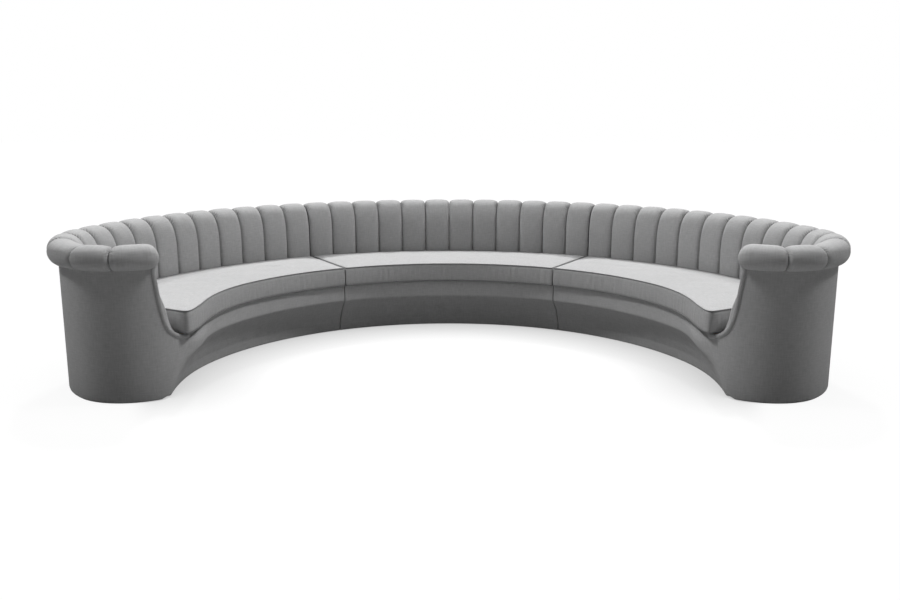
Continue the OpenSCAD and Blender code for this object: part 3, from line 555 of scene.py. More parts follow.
# Depth of the padding's rear face, and shares of the arm's run where its channels meet
PAD_DEPTH, ARM_BREAKS = 0.060, (0, 0.465, 0.731, 1)
# From the last channels of the ring on, the roll gets thinner towards its middle height
THIN_START, THIN_RUN, THIN_TOP, THIN_LOW = (CHANNELS - 1) * PITCH, 0.55, 0.08, 0.14
# Only rows over this height belong to the roll, with a soft start
ROLL_FROM_Z, ROLL_FADE = 0.60, 0.05
# The arm's roll ends in a dome of this reach about a tip at this depth and height
CAP_REACH, TIP, TIP_DEPTH, TIP_Z = 0.034, 0.036, 0.045, 0.697
CAP_STEPS = np.array([0.12, 0.25, 0.38, 0.5, 0.62, 0.74, 0.85, 0.94, 1])


def columns(width):
    """Distances across a channel: close beside its two seams."""
    inner = width / 2 - SEAM_STEPS[-1]
    middle = np.linspace(SEAM_STEPS[-1], width / 2, max(3, round(inner / COLUMN_STEP) + 1))
    half = np.concatenate([SEAM_STEPS, middle[1:]])
    return np.concatenate([half, width - half[-2::-1]])


def add_channel(form, begin, until, gather_side, jitter, near=1.0, far=0.12, last=False):
    """One channel from run begin to run until. The last one on an arm closes in a rounded end."""
    depth, z, along, swell, gather = ROWS
    start = columns(until - begin)
    end = (until - begin) - start
    share, edge = start / (until - begin), np.minimum(start, end)
    strength = np.where(edge == (end if gather_side > 0 else start), near, far)
    if last:
        share, edge = np.minimum(share, 0.5), np.minimum(start, 0.2)
        strength = np.where(start < end, near, 0.0)
        depth, z, along, swell, gather = (np.append(a, e) for a, e in zip(ROWS, LAST_ROWS))
    runs = begin + start
    thin = smooth((runs - THIN_START) / THIN_RUN)[:, None] * np.where(z > ROLL_Z, THIN_TOP, THIN_LOW)
    z = z - thin * (z - ROLL_Z) * smooth((z - ROLL_FROM_Z) / ROLL_FADE)
    depth = depth + 0 * z
    if last:
        tip = np.clip((runs - (until - TIP)) / (TIP + CAP_REACH), 0, 1)[:, None]
        pull = (1 - np.sqrt(1 - tip ** 2)) * smooth((z - ROLL_FROM_Z) / ROLL_FADE)
        depth, z = depth + (TIP_DEPTH - depth) * pull, z + (TIP_Z - z) * pull
    points = raised(at_path(runs[:, None], depth), z)
    uv = paired(runs[:, None], along)
    values = {"share": share[:, None], "edge": edge[:, None], "swell": swell,
              "gather": strength[:, None] * gather, "run": along + jitter.uniform(0, 0.015)}
    parts = [slice(0, ROLL_FIRST + 1), slice(ROLL_FIRST, None)] if last else [slice(None)]
    for part in parts:
        form.grid(points[:, part], uv[:, part],
                  **{key: np.broadcast_to(value, z.shape)[:, part] for key, value in values.items()})
    if last:
        roll = parts[1]
        close_roll(form, until, points[-1:, roll], depth[-1:, roll], z[-1:, roll], along[roll], swell[roll])


def close_roll(form, run, rim, depth, z, along, swell):
    """The dome that closes the arm's roll beyond a run, from the rim that is already drawn."""
    first = math.asin(TIP / (TIP + CAP_REACH))
    lean = first + (math.pi / 2 - first) * CAP_STEPS
    size = np.cos(lean)[:, None] / math.cos(first)
    cap_depth, cap_z = TIP_DEPTH + (depth - TIP_DEPTH) * size, TIP_Z + (z - TIP_Z) * size
    cap_run = run - TIP + (TIP + CAP_REACH) * np.sin(lean)[:, None]
    plan = at_path(np.broadcast_to(cap_run, cap_depth.shape), cap_depth)
    cap = np.concatenate([rim, raised(plan, cap_z)])
    length = 0.008 * np.arange(len(cap))
    uv = paired((run + length)[:, None], along)
    gather = smooth(length / 0.05)[:, None] * np.where(z < 0.73, 0.8, 0.15)
    shrink = np.concatenate([[1.0], size[:, 0] ** 0.7])[:, None]
    form.grid(cap, uv, share=0.5, edge=0.012, gather=gather, swell=swell * shrink,
              run=np.broadcast_to(along, cap.shape[:2]))


def end_cap(form, run, outward):
    """Closes the end of the padding at a seam between modules, as a fan from one corner."""
    rows = np.stack(ROWS[:2], -1)
    edge = np.concatenate([rows[::6], rows[-1:], [[PAD_DEPTH, ROLL_SEAM_Z], [PAD_DEPTH, CHANNEL_Z]]])
    hub = len(edge) - 2
    faces = [[hub, i, (i + 1) % len(edge)] for i in range(len(edge)) if i not in (hub - 1, hub)]
    faces = [f[::-1] if outward > 0 else f for f in faces]
    form.add(raised(at_path(run, edge[:, 0]), edge[:, 1]), edge, faces)


def back_upholstery(module):
    side = SIDES.get(module, 1)
    jitter = random.Random({"middle": 3, "right": 5, "left": 7}[module])
    form, caps = Form(), Form()
    if module == "middle":
        for i in range(1, CHANNELS + 1):
            begin = -i * PITCH + (MEET_RUN if i == CHANNELS else HALF_GAP)
            until = (1 - i) * PITCH - (MEET_RUN if i == 1 else HALF_GAP)
            add_channel(form, begin, until, 1 if i <= CHANNELS / 2 else -1, jitter, far=0.6)
        end_cap(caps, -CHANNELS * PITCH + MEET_RUN, -1)
        end_cap(caps, -MEET_RUN, 1)
    else:
        for i in range(CHANNELS):
            begin = max(MEET_RUN, i * PITCH + HALF_GAP)
            add_channel(form, begin, (i + 1) * PITCH - HALF_GAP, 1, jitter)
        start, stop = CHANNELS * PITCH, arm_run(ARM_END)
        breaks = [start + (stop - start) * share for share in ARM_BREAKS]
        for part in range(3):
            until = breaks[part + 1] - (HALF_GAP if part < 2 else 0)
            add_channel(form, breaks[part] + HALF_GAP, until, 1, jitter, 0.45, 0.45, last=part == 2)
        end_cap(caps, MEET_RUN, -1)
    obj = form.make(f"{module}_back_upholstery", side, weld=1e-5)
    run_tree(obj, CHANNEL_TREE, CHANNEL_IN, LINEN)
    dress(obj, f"{module}_module", stands_for=[f"{module}_back_channels"])
    cap = caps.make(f"{module}_back_end_lining", side)
    dress(cap, f"{module}_module", LINING)


for module in ("middle", "right", "left"):
    back_upholstery(module)

# %% [markdown]
# ## The plinth and the arms
# The plinth has an upright padded lip and, under it, a cove that runs back to the floor line.
# Towards the arm the cove fades, the lip flares inward, and its edge leans up along a soft ridge
# into the welt. The plinth and the outside cover of an end module are one skin, welded and eased
# along the ridge. At the seams between modules the skins are rounded in.

# %% Plinth profile
# Heights and radii of the cove, from the floor up to the lip
COVE_TOP_Z = 0.214
COVE = np.array([[0.0, 1.425], [0.057, 1.4195], [0.111, 1.401], [0.145, 1.384], [0.172, 1.366],
                 [0.196, 1.348], [COVE_TOP_Z, LIP_R], [LIP_TOP_Z, LIP_R]])
# The ridge: shares of the lip's height, and how far out of the toe's depth it is at each
ROW_SHARE = np.array([0, 0.12, 0.25, 0.38, 0.5, 0.6, COVE_TOP_Z / LIP_TOP_Z, 0.85, 1])
TOE_SHARE = np.array([1, 0.84, 0.68, 0.52, 0.38, 0.27, 0.17, 0.05, 0])
FADE_START, TOE_DEPTH, RIDGE_IN = 68.0, 0.072, 0.004
# The flare of the lip beside the ridge: reach, height, and its spread below and above that
FLARE, FLARE_Z, FLARE_BELOW, FLARE_ABOVE = 0.052, 0.245, 0.105, 0.060
# Rows of a skin, as shares of its height
HEIGHT_SHARE = np.linspace(0, 1, 46)
# Distances from a module's seam, and how far a skin is tucked in at each
EDGE_STEPS = np.array([0, 0, 0.5, 1.4, 3.0, 5.5, 9]) / 1000
EDGE_TUCK = np.array([14, 5.0, 3.1, 1.7, 0.6, 0.1, 0]) / 1000
# The cover's fold over the lip: depth behind the face and rise, then depth and height under the deck
LIP_FOLD = ((0.0025, 0.0022), (0.0065, 0.0033), (0.013, 0.0034), (0.022, 0.0028), (0.034, 0.0022),
            (0.052, 0.0016))
UNDER_DECK = ((0.064, 0.3130), (0.090, 0.3120), (0.125, 0.3110))
FOLD_TOP_Z, FOLD_RUN, STEEP_FOLD_RUN = 0.3145, 0.034, 0.004
# The hem at the floor: depth behind the face and height over the skin's lowest row
HEM = ((0.018, 0.0005), (0.004, -0.001))
HEM_Z, FOOT_Z, FOOT_TUCK = GLIDE_H - 0.001, 0.007, 0.0015
# A slight unevenness of the cover, and the row whose run gives the texture its place
COVER_WAVE, TEXTURE_ROW = 0.0011, 20
# Angles of the middle module's ends, and the columns of a skin between them
MIDDLE_ENDS, MIDDLE_COLUMNS = (-SEAM + GAP_ANGLE, SEAM - GAP_ANGLE), 121


def cove_radius(share):
    """Radius of the plinth's face, eased where the lip breaks into the cove."""
    fine = np.linspace(-0.1, 1.1, 1201)
    radius = np.interp(fine * LIP_TOP_Z, COVE[:, 0], COVE[:, 1])
    kernel = np.exp(-np.linspace(-2.5, 2.5, 61) ** 2)
    eased = np.convolve(np.pad(radius, 30, mode="edge"), kernel / kernel.sum(), "valid")
    return np.interp(share, fine, eased)


def ridge_angle(share):
    ring = LIP_R - RIDGE_IN + (TOE_DEPTH + RIDGE_IN) * np.interp(share, ROW_SHARE, TOE_SHARE)
    far, turned = np.hypot(*ARM_C), math.degrees(math.atan2(*ARM_C))
    return turned + np.degrees(np.arccos((ring ** 2 - far ** 2 - ARM_R ** 2) / (2 * far * ARM_R)))


# The welt's centre line: angle round the arm and height, from its foot up to the roll
BEAD_ANGLE = np.array([249.9, 244.1, 238.7, 233.9, 229.8, 226.7, 224.4, 222.1, 220.2, 218.4])
BEAD_Z = 0.2920 + 0.3518 * np.array([0, 0.022, 0.05, 0.095, 0.1625, 0.255, 0.381, 0.563, 0.787, 1])


def skin_z(share, top):
    return HEM_Z + share * (top - HEM_Z)


def plinth_rows(angles, fade):
    """Points of the plinth's skin for angles on the ring. Fade goes from 0 to 1 at the ridge."""
    share = HEIGHT_SHARE[None, :]
    ridge = ARM_C + ARM_R * way(ridge_angle(HEIGHT_SHARE))
    ridge_a = np.degrees(np.arctan2(ridge[:, 0], ridge[:, 1]))[None, :]
    fading = fade[:, None]
    angle = angles[:, None] + (ridge_a - FADE_START) * fading
    blend = smooth(fading) ** 1.5
    radius = cove_radius(share) * (1 - blend) + np.hypot(ridge[:, 0], ridge[:, 1])[None, :] * blend
    top = LIP_TOP_Z + (ARM_LIP_Z - LIP_TOP_Z) * smooth(2 * fading - 1)
    z = skin_z(share, top)
    hump = np.exp(-((z - FLARE_Z) / np.where(z < FLARE_Z, FLARE_BELOW, FLARE_ABOVE)) ** 2)
    flare = FLARE * hump * np.maximum(np.sin(np.pi * fading ** 2.2), 0) ** 1.2
    return angle, radius - flare, z


def edged(start, stop, count, radius, both=False):
    """Angles along a skin whose end at a module seam is rounded in, and how deep each lies."""
    step = np.degrees(EDGE_STEPS / radius)
    angles = np.linspace(start + step[-1], stop - (step[-1] if both else 0), count)
    tuck = np.concatenate([EDGE_TUCK[:-1], 0 * angles])
    angles = np.concatenate([start + step[:-1], angles])
    if both:
        angles, tuck = np.append(angles, stop - step[-2::-1]), np.append(tuck, EDGE_TUCK[-2::-1])
    return angles, tuck


def add_plinth(form, angles, fade, tuck):
    """The plinth's skin with its hem at the floor and its fold over the lip to under the deck."""
    angle, radius, z = plinth_rows(angles, fade)
    radius, fade = radius + tuck[:, None], fade[:, None]
    wave = COVER_WAVE * np.sin(angle * 0.9 + 2.1 * np.sin(angle * 0.23)) * np.sin(z * 16) * (1 - fade)
    face = (radius + wave)[..., None] * way(angle)

    def behind(column, depths):
        return [(radius[:, column] + depth)[..., None] * way(angle[:, column]) for depth in depths]

    foot, top = slice(0, 1), slice(-1, None)
    flat_reach = FOLD_RUN - (FOLD_RUN - STEEP_FOLD_RUN) * smooth((fade - 0.85) / 0.15)
    plans = behind(foot, [d for d, _ in HEM]) + [face] + behind(top, [d for d, _ in LIP_FOLD + UNDER_DECK])
    heights = [z[:, foot] + rise for _, rise in HEM] + [z]
    for depth, rise in LIP_FOLD:
        flat = z[:, top] + rise * (1 - 0.9 * fade)
        lift = np.maximum(FOLD_TOP_Z - flat, 0) * smooth(depth / flat_reach) * (fade > 0)
        heights.append(flat + lift)
    heights += [np.full_like(fade, height) for _, height in UNDER_DECK]
    plan, z = np.concatenate(plans, 1), np.concatenate(heights, 1)
    run = np.radians(angle[:, TEXTURE_ROW:TEXTURE_ROW + 1]) * LIP_R
    form.grid(raised(plan, z), paired(run, z))


def ease(obj, crease, rounds=30, reach=0.042, pull=0.6):
    """Rounds a welded crease: points near it move towards the mean of their neighbours."""
    mesh = obj.data
    points = places_of(mesh)
    edges = np.zeros(len(mesh.edges) * 2, np.int64)
    mesh.edges.foreach_get("vertices", edges)
    edges = edges.reshape(-1, 2)
    distance = np.full(len(points), np.inf)
    close = np.abs(points[:, None, :2] - crease[None, ::2, :2]).max(-1).min(1) < reach * 1.5
    distance[close] = np.linalg.norm(points[close][:, None] - crease[None], axis=-1).min(1)
    weight = smooth(1 - distance / reach)[:, None] * pull
    for _ in range(rounds):
        total, count = np.zeros_like(points), np.zeros(len(points))
        for one, other in ((0, 1), (1, 0)):
            np.add.at(total, edges[:, one], points[edges[:, other]])
            np.add.at(count, edges[:, one], 1)
        points += weight * (total / np.maximum(count, 1)[:, None] - points)
    mesh.vertices.foreach_set("co", points.ravel())
    mesh.update()


# %% Middle plinth and outside cover
form = Form()
angles, tuck = edged(*MIDDLE_ENDS, MIDDLE_COLUMNS, LIP_R, both=True)
add_plinth(form, angles, 0 * angles, tuck)
dress(form.make("middle_plinth_cover"), "middle_module", LINEN, stands_for=["middle_front_cover"])


def outer_heights():
    """Heights of the outside cover's rows: the plinth's rows first, then up under the roll."""
    low = skin_z(HEIGHT_SHARE, ARM_LIP_Z)
    return np.concatenate([low, np.arange(0.2795, 0.35, 0.0045), np.arange(0.355, 0.64, 0.018),
                           [0.646, 0.656, 0.664]])


form = Form()
angle, tuck = (a[:, None] for a in edged(*MIDDLE_ENDS, MIDDLE_COLUMNS, WALL_R, both=True))
z = outer_heights()[None, :]
tuck = tuck + np.where(z < FOOT_Z, FOOT_TUCK, 0.0)
plan = (WALL_R - tuck)[..., None] * way(np.broadcast_to(angle, tuck.shape))
form.grid(raised(plan, z), paired(np.radians(angle) * WALL_R, z), flip=True)
dress(form.make("middle_outside_cover"), "middle_module", LINEN, stands_for=["middle_outer_cover"])

# %% End modules: plinth, ridge and arm in one skin
# Columns of the skin: ring, fade and arm end, and the run where the arm's end columns start
RING_COLUMNS, FADE_COLUMNS, TAIL_COLUMNS, TAIL_START = 78, 60, 34, arm_run(200)
WIDE_STEP, NARROW_STEP = 0.022, 0.012


def end_skin(module):
    side = SIDES[module]
    form = Form()
    ring, tuck = edged(SEAM + GAP_ANGLE, FADE_START, RING_COLUMNS, LIP_R)
    fading = np.linspace(0, 1, FADE_COLUMNS)[1:] ** 0.95
    angles = np.concatenate([ring, np.full(len(fading), FADE_START)])
    add_plinth(form, angles, np.concatenate([0 * ring, fading]), np.concatenate([tuck, 0 * fading]))
    z = outer_heights()
    low = len(HEIGHT_SHARE)
    edge = np.concatenate([ridge_angle(HEIGHT_SHARE), np.interp(z[low:], BEAD_Z, BEAD_ANGLE)])
    runs = np.concatenate([GAP_RUN + EDGE_STEPS[:-1],
                           np.arange(GAP_RUN + EDGE_STEPS[-1], RING_RUN, WIDE_STEP),
                           np.arange(RING_RUN, TAIL_START, NARROW_STEP)])
    shares = np.linspace(0, 1, TAIL_COLUMNS)[:, None] ** 0.9
    tail = TAIL_START + (arm_run(edge) - TAIL_START) * shares
    run = np.concatenate([np.broadcast_to(runs[:, None], (len(runs), len(z))), tail])
    height = np.broadcast_to(z, run.shape)
    tuck = np.pad(EDGE_TUCK, (0, len(run) - len(EDGE_TUCK)))[:, None]
    points = raised(at_path(run, tuck + np.where(height < FOOT_Z, FOOT_TUCK, 0.0)), height)
    ridge = raised(ARM_C + ARM_R * way(ridge_angle(HEIGHT_SHARE)), z[:low])
    points[-1, :low] = ridge
    form.grid(points, np.stack([run, height], -1), flip=True)
    obj = form.make(f"{module}_cover_skin", side, weld=1e-4)
    ease(obj, ridge * [side, 1, 1])
    dress(obj, f"{module}_module", LINEN, stands_for=[f"{module}_front_cover", f"{module}_outer_cover"])


for module in SIDES:
    end_skin(module)

# %% [markdown]
# ## The welt and the pad on the arm's end
# The welt is a padded tube that follows the arm's edge in a J and sinks into the lip. Behind it
# a rounded pad closes the end of the arm between the welt and the last channel.

# %% Welt and arm pad
WELT_R, WELT_DEPTH, WELT_TOP_ANGLE, WELT_TOP_Z = 0.0128, 0.005, 219.2, 0.690
# The welt's tail along the lip: radius, angle and height, from where it sinks in
TAIL = np.array([[1.342, 90.2, 0.2860], [1.335, 91.4, 0.2870], [1.3315, 92.5, 0.2885], [1.33, 93.5, 0.2900]])
TAPER_RUN, TAPER_END = 0.125, 0.05
# The pad on the arm's end: its radii on the arm, heights, length, and how that shrinks upward
NOSE_OUT, NOSE_IN = ARM_R - 0.0175 - 0.0003, ARM_R - 0.144
NOSE_LOW_Z, NOSE_TOP_Z, NOSE_LENGTH = 0.286, 0.688, 0.058
NOSE_SHRINK, NOSE_SHRINK_Z, NOSE_SHRINK_RUN = 0.75, 0.42, 0.20


def fine_line(points, count):
    """A smooth line through points, by distance along them."""
    length = line_length(points)
    marks = np.linspace(0, length[-1], count)
    kernel = np.exp(-np.linspace(-2, 2, 11) ** 2)
    kernel /= kernel.sum()
    lines = []
    for values in points.T:
        fine = np.interp(marks, length, values)
        padded = np.concatenate([2 * fine[0] - fine[5:0:-1], fine, 2 * fine[-1] - fine[-2:-7:-1]])
        lines.append(np.convolve(padded, kernel, "valid"))
    return np.stack(lines, -1)


def arm_end(module):
    side = SIDES[module]
    tail = raised(TAIL[:, :1] * way(TAIL[:, 1]), TAIL[:, 2])
    edge = ARM_C + (ARM_R - WELT_DEPTH) * way(np.append(BEAD_ANGLE, WELT_TOP_ANGLE))
    line = fine_line(np.concatenate([tail, raised(edge, np.append(BEAD_Z, WELT_TOP_Z))]), 100)
    from_tail = np.linalg.norm(line - line[0], axis=1)
    taper = TAPER_END + (1 - TAPER_END) * smooth(from_tail / TAPER_RUN)
    welt = tube_on(f"{module}_arm_welt", line, WELT_R, WELT, sides=20, taper=taper, side=side)
    dress(welt, f"{module}_module", stands_for=[f"{module}_arm_bead"])

    form = Form()
    z = np.linspace(NOSE_LOW_Z, NOSE_TOP_Z, 42)[:, None]
    base = ARM_END + 0.1
    lean = np.maximum(np.interp(z, BEAD_Z, BEAD_ANGLE) - base, 0)
    p = (1 - np.cos(np.linspace(0, math.pi, 30))) / 2
    mid, half = (NOSE_OUT + NOSE_IN) / 2, (NOSE_OUT - NOSE_IN) / 2
    radius = NOSE_OUT - 2 * half * p
    bulge = NOSE_LENGTH * np.maximum(0, 1 - np.abs((radius - mid) / half) ** 2.5) ** 0.4
    bulge = bulge * (1 - NOSE_SHRINK * smooth((z - NOSE_SHRINK_Z) / NOSE_SHRINK_RUN))
    out = np.radians(lean) * ARM_R * (1 - p) ** 1.6 + bulge
    angle = base + np.degrees(out / radius)
    plan = ARM_C + np.broadcast_to(radius, angle.shape)[..., None] * way(angle)
    form.grid(raised(plan, z), paired(p * 0.3, z))
    pad = form.make(f"{module}_arm_end_pad", side)
    dress(pad, f"{module}_module", LINEN, stands_for=[f"{module}_arm_pad"])


for module in SIDES:
    arm_end(module)

# %% [markdown]
# ## The loose cushions
# Each cushion is a closed form: a flat underside, a boxing that bellies a little between its two
# seams, and a crowned top. The cloth solver then fills it. Its seams and underside are pinned,
# and the boxing is cut a little long, so that it puckers between the seams as sewn boxing does.

# %% Cushion outlines
CUSHION_FRONT, CUSHION_BACK, CUSHION_GAP = 1.315, 0.1448, 0.04
EDGE_Z, CROWN, DRAW = 0.430, 0.015, 0.004
# The front line draws in beside the arm and runs out again to the corner of the cushion's ear
EAR_START, EAR_CORNER, EAR_END, EAR_IN = 64, 97.13, 98.96, 0.042
FLANK_ANGLE, FLANK_IN = 247.0, 0.012
# Rounding of an outline: the step along it, and the widths elsewhere, at the ear and at the flank
ROUND_STEP, PLAIN_ROUND, EAR_ROUND, FLANK_ROUND = 0.003, 0.010, 0.085, 0.014


def resample(points, step):
    closed = np.concatenate([points, points[:1]])
    length = line_length(closed)
    marks = np.linspace(0, length[-1], int(round(length[-1] / step)), endpoint=False)
    return np.stack([np.interp(marks, length, closed[:, i]) for i in (0, 1)], -1)


def round_corners(points, widths=()):
    """Rounds an outline: each point moves to a weighted mean of those along it."""
    fine = resample(points, ROUND_STEP)
    width = np.full(len(fine), PLAIN_ROUND)
    for corner, value in widths:
        near = np.linalg.norm(fine - corner, axis=1)
        width = np.maximum(width, value * smooth(1.6 - near / (2.2 * value)))
    result, total = np.zeros_like(fine), np.zeros(len(fine))
    for shift in range(-50, 51):
        weight = np.exp(-(shift * ROUND_STEP / (width * 0.6)) ** 2)
        result += np.roll(fine, -shift, axis=0) * weight[:, None]
        total += weight
    return result / total[:, None]


def cushion_outline(module):
    if module == "middle":
        a = np.linspace(*(np.array(MIDDLE_ENDS) + [CUSHION_GAP, -CUSHION_GAP]), 200)
        return round_corners(np.concatenate([CUSHION_FRONT * way(a), (WALL_R - CUSHION_BACK) * way(a[::-1])]))
    a = np.linspace(SEAM + GAP_ANGLE + CUSHION_GAP, EAR_CORNER, 240)
    share = np.maximum(a - EAR_START, 0) / (EAR_END - EAR_START)
    radius = CUSHION_FRONT - EAR_IN * np.sin(np.radians(180 * share ** 2.33)) ** 0.8
    front = radius[:, None] * way(a)
    ear, flank = front[-1], ARM_C + (ARM_R - CUSHION_BACK + FLANK_IN) * way(FLANK_ANGLE)
    side = ear + (flank - ear) * np.linspace(0, 1, 30)[1:, None]
    back = at_path(np.linspace(arm_run(236), GAP_RUN, 500), CUSHION_BACK)
    return round_corners(np.concatenate([front, side, back]), [(ear, EAR_ROUND), (flank, FLANK_ROUND)])


def fill_outline(outline, step):
    """Points inside an outline on a ring-shaped grid, joined to it as triangles."""
    angles = np.degrees(np.arctan2(outline[:, 0], outline[:, 1]))
    radii = np.hypot(outline[:, 0], outline[:, 1])
    inner = np.concatenate([r * way(np.arange(angles.min(), angles.max(), np.degrees(step / r)))
                            for r in np.arange(radii.min(), radii.max(), step)])
    x, y = outline.T
    next_x, next_y = np.roll(x, -1), np.roll(y, -1)
    inside = np.zeros(len(inner), bool)
    for i in range(len(x)):
        crosses = (y[i] > inner[:, 1]) != (next_y[i] > inner[:, 1])
        with np.errstate(divide="ignore", invalid="ignore"):
            at = (next_x[i] - x[i]) * (inner[:, 1] - y[i]) / (next_y[i] - y[i]) + x[i]
        inside ^= crosses & (inner[:, 0] < at)
    inner = inner[inside]
    far = np.concatenate([np.linalg.norm(chunk[:, None] - outline[None], axis=-1).min(1)
                          for chunk in np.array_split(inner, 20)])
    inner, far = inner[far > step * 0.6], far[far > step * 0.6]
    points = [Vector(p) for p in np.concatenate([outline, inner])]
    ring = [(i, (i + 1) % len(outline)) for i in range(len(outline))]
    made = mathutils.geometry.delaunay_2d_cdt(points, ring, [], 1, 1e-7)
    places = np.array([tuple(p) for p in made[0]])
    assert len(places) == len(points), (len(places), len(points))
    faces = []
    for f in made[2]:
        a, b, c = places[list(f)]
        turned = (b[0] - a[0]) * (c[1] - a[1]) - (b[1] - a[1]) * (c[0] - a[0])
        faces.append(list(f) if turned > 0 else list(f)[::-1])
    return places, np.concatenate([np.zeros(len(outline)), far]), faces


CROWN_RUN, WRINKLE, PUCKER = 0.075, 0.0005, 0.00045
SEAT_LOW_Z, BOXING_ROWS = DECK_Z + 0.0006, 9


def cushion_mesh(module, step=0.016):
    """A cushion with wrinkles in its seat and puckers in its boxing, and its seam line."""
    lot = random.Random(11)
    outline = resample(cushion_outline(module), step * 0.5)
    x, y = outline.T
    if np.sum(x * np.roll(y, -1) - np.roll(x, -1) * y) < 0:
        outline = outline[::-1]
    tangent = np.roll(outline, -1, axis=0) - np.roll(outline, 1, axis=0)
    outward = np.stack([tangent[:, 1], -tangent[:, 0]], -1)
    outward /= np.linalg.norm(outward, axis=1)[:, None]
    seam = outline - DRAW * outward
    places, far, faces = fill_outline(seam, step)
    rise = CROWN * (1 - np.exp(-far / CROWN_RUN))
    for _ in range(9):
        turn, length, start = lot.uniform(0, math.pi), lot.uniform(0.07, 0.19), lot.uniform(0, 6)
        wave = 2 * math.pi * places @ way(math.degrees(turn)) / length + start
        wave = np.sin(wave + 2 * np.sin(7 * places[:, 0] + start))
        rise = rise + WRINKLE * (1 - np.exp(-far / 0.05)) * length / 0.12 * wave
    seat_uv = np.stack([np.arctan2(*places.T) * 1.6, np.hypot(*places.T)], -1)
    form = Form()
    form.add(raised(places, EDGE_Z + rise), seat_uv, faces)
    t = np.linspace(0, 1, BOXING_ROWS)
    closed, out = np.concatenate([seam, seam[:1]]), np.concatenate([outward, outward[:1]])
    run = line_length(closed)
    pucker = np.zeros(len(run))
    for _ in range(8):
        length, start = lot.uniform(0.020, 0.048), lot.uniform(0, 6)
        pucker += np.sin(2 * math.pi * run / length + start) * (0.6 + 0.4 * np.sin(3.1 * run + 2 * start))
    belly = DRAW * np.sin(np.pi * t) ** 0.8 + PUCKER * pucker[:, None] * np.sin(np.pi * t) ** 0.5
    plan = closed[:, None] + out[:, None] * belly[..., None]
    z = np.broadcast_to(SEAT_LOW_Z + (EDGE_Z - SEAT_LOW_Z) * t, belly.shape)
    form.grid(raised(plan, z), paired(run[:, None], z))
    form.add(raised(places, SEAT_LOW_Z), seat_uv, [f[::-1] for f in faces])
    return form, seam, outward


CLOTH_FRAMES = 20
CLOTH = {
    "quality": 6, "mass": 0.3, "tension_stiffness": 18, "compression_stiffness": 18,
    "shear_stiffness": 8, "bending_stiffness": 0.35, "use_pressure": True,
    "uniform_pressure_force": 1.2, "vertex_group_mass": "pin", "pin_stiffness": 1.0,
    "vertex_group_shrink": "boxing", "shrink_min": 0.0, "shrink_max": -0.035,
}


def fill_with_cloth(obj, cap=0.006):
    """Pressure and long-cut boxing, with the seams and the underside pinned."""
    mesh = obj.data
    before = places_of(mesh)
    low = before[:, 2].min() + 0.001
    pinned = (before[:, 2] < low) | (np.abs(before[:, 2] - EDGE_Z) < 0.0004)
    boxing = (before[:, 2] > low) & (before[:, 2] < EDGE_Z - 0.0004)
    for name, chosen, weight in (("pin", pinned, 1.0), ("boxing", boxing, 1.0), ("boxing", ~boxing, 0.0)):
        group = obj.vertex_groups.get(name) or obj.vertex_groups.new(name=name)
        group.add(np.nonzero(chosen)[0].tolist(), weight, "REPLACE")
    cloth = obj.modifiers.new("Cloth", "CLOTH")
    for name, value in CLOTH.items():
        setattr(cloth.settings, name, value)
    cloth.settings.effector_weights.gravity = 0.0
    cloth.collision_settings.use_collision = False
    cloth.point_cache.frame_start, cloth.point_cache.frame_end = 1, CLOTH_FRAMES
    scene = bpy.context.scene
    for number in range(1, CLOTH_FRAMES + 1):
        scene.frame_set(number)
    filled = obj.evaluated_get(bpy.context.evaluated_depsgraph_get())
    move = places_of(filled.to_mesh()) - before
    filled.to_mesh_clear()
    size = np.linalg.norm(move, axis=1)
    limited = cap * np.tanh(size / cap) / np.maximum(size, 1e-9)
    obj.modifiers.clear()
    scene.frame_set(1)
    mesh.vertices.foreach_set("co", (before + move * limited[:, None]).ravel())
    mesh.update()
    print(f"{obj.name}: cloth moved points by up to {size.max() * 1000:.1f} mm, kept to {cap * 1000:.0f} mm")


# The piping's radius, its height at both seams, and how far it stands out
PIPE_R, PIPE_OUT = 0.0028, 0.0004
PIPE_Z = {"top": EDGE_Z + 0.0010, "bottom": DECK_Z + 0.0040}


# The piping's darker colour is painted shade for the seam line, not a different cloth.
def cushion_piping(module, seam, outward, side):
    for title, z in PIPE_Z.items():
        pipe = tube_on(f"{module}_cushion_{title}_piping", raised(seam + PIPE_OUT * outward, z),
                       PIPE_R, PIPING_PAINTED_SHADE, sides=10, closed=True, side=side)
        dress(pipe, f"{module}_cushion")


# %% Make the cushions
for module in ("middle", "right"):
    form, seam, outward = cushion_mesh(module)
    obj = form.make(f"{module}_seat_upholstery", weld=1e-5)
    fill_with_cloth(obj)
    height = np.array([v.co.z for v in obj.data.vertices])
    carry(obj.data, "pucker", (height > DECK_Z + 0.002) & (height < EDGE_Z - 0.002))
    pieces = [(module, obj, 1)]
    if module == "right":
        mesh = obj.data.copy()
        mesh.transform(mathutils.Matrix.Diagonal((-1, 1, 1, 1)))
        mesh.flip_normals()
        pieces.append(("left", in_scene("left_seat_upholstery", mesh), -1))
    for owner, piece, side in pieces:
        piece.data.shade_smooth()
        dress(piece, f"{owner}_cushion", LINEN, stands_for=[f"{owner}_seat_cushion"])
        cushion_piping(owner, seam, outward, side)

# %% [markdown]
# ## Floor, light and camera
# The floor is pale. What the camera sees of it is nearly white, shaded where the sofa is close,
# and mostly so inside the ring. One light stands behind and above, two high at the sides and one
# overhead, and three soft boxes lift the arms' fronts, the seats and the lip. The camera stands
# where the photograph was taken.

# %% Floor and world
# How pale the floor is to light and to the camera, and how bright and how shaded it looks
FLOOR_PALE, FLOOR_SEEN, FLOOR_GLOW, SHADE_REACH = 0.28, 0.04, 0.955, 0.38
SHADE_OUTSIDE, SHADE_INSIDE, INSIDE_R, OUTSIDE_R = 0.06, 0.48, 1.45, 1.60
AMBIENT = 0.06

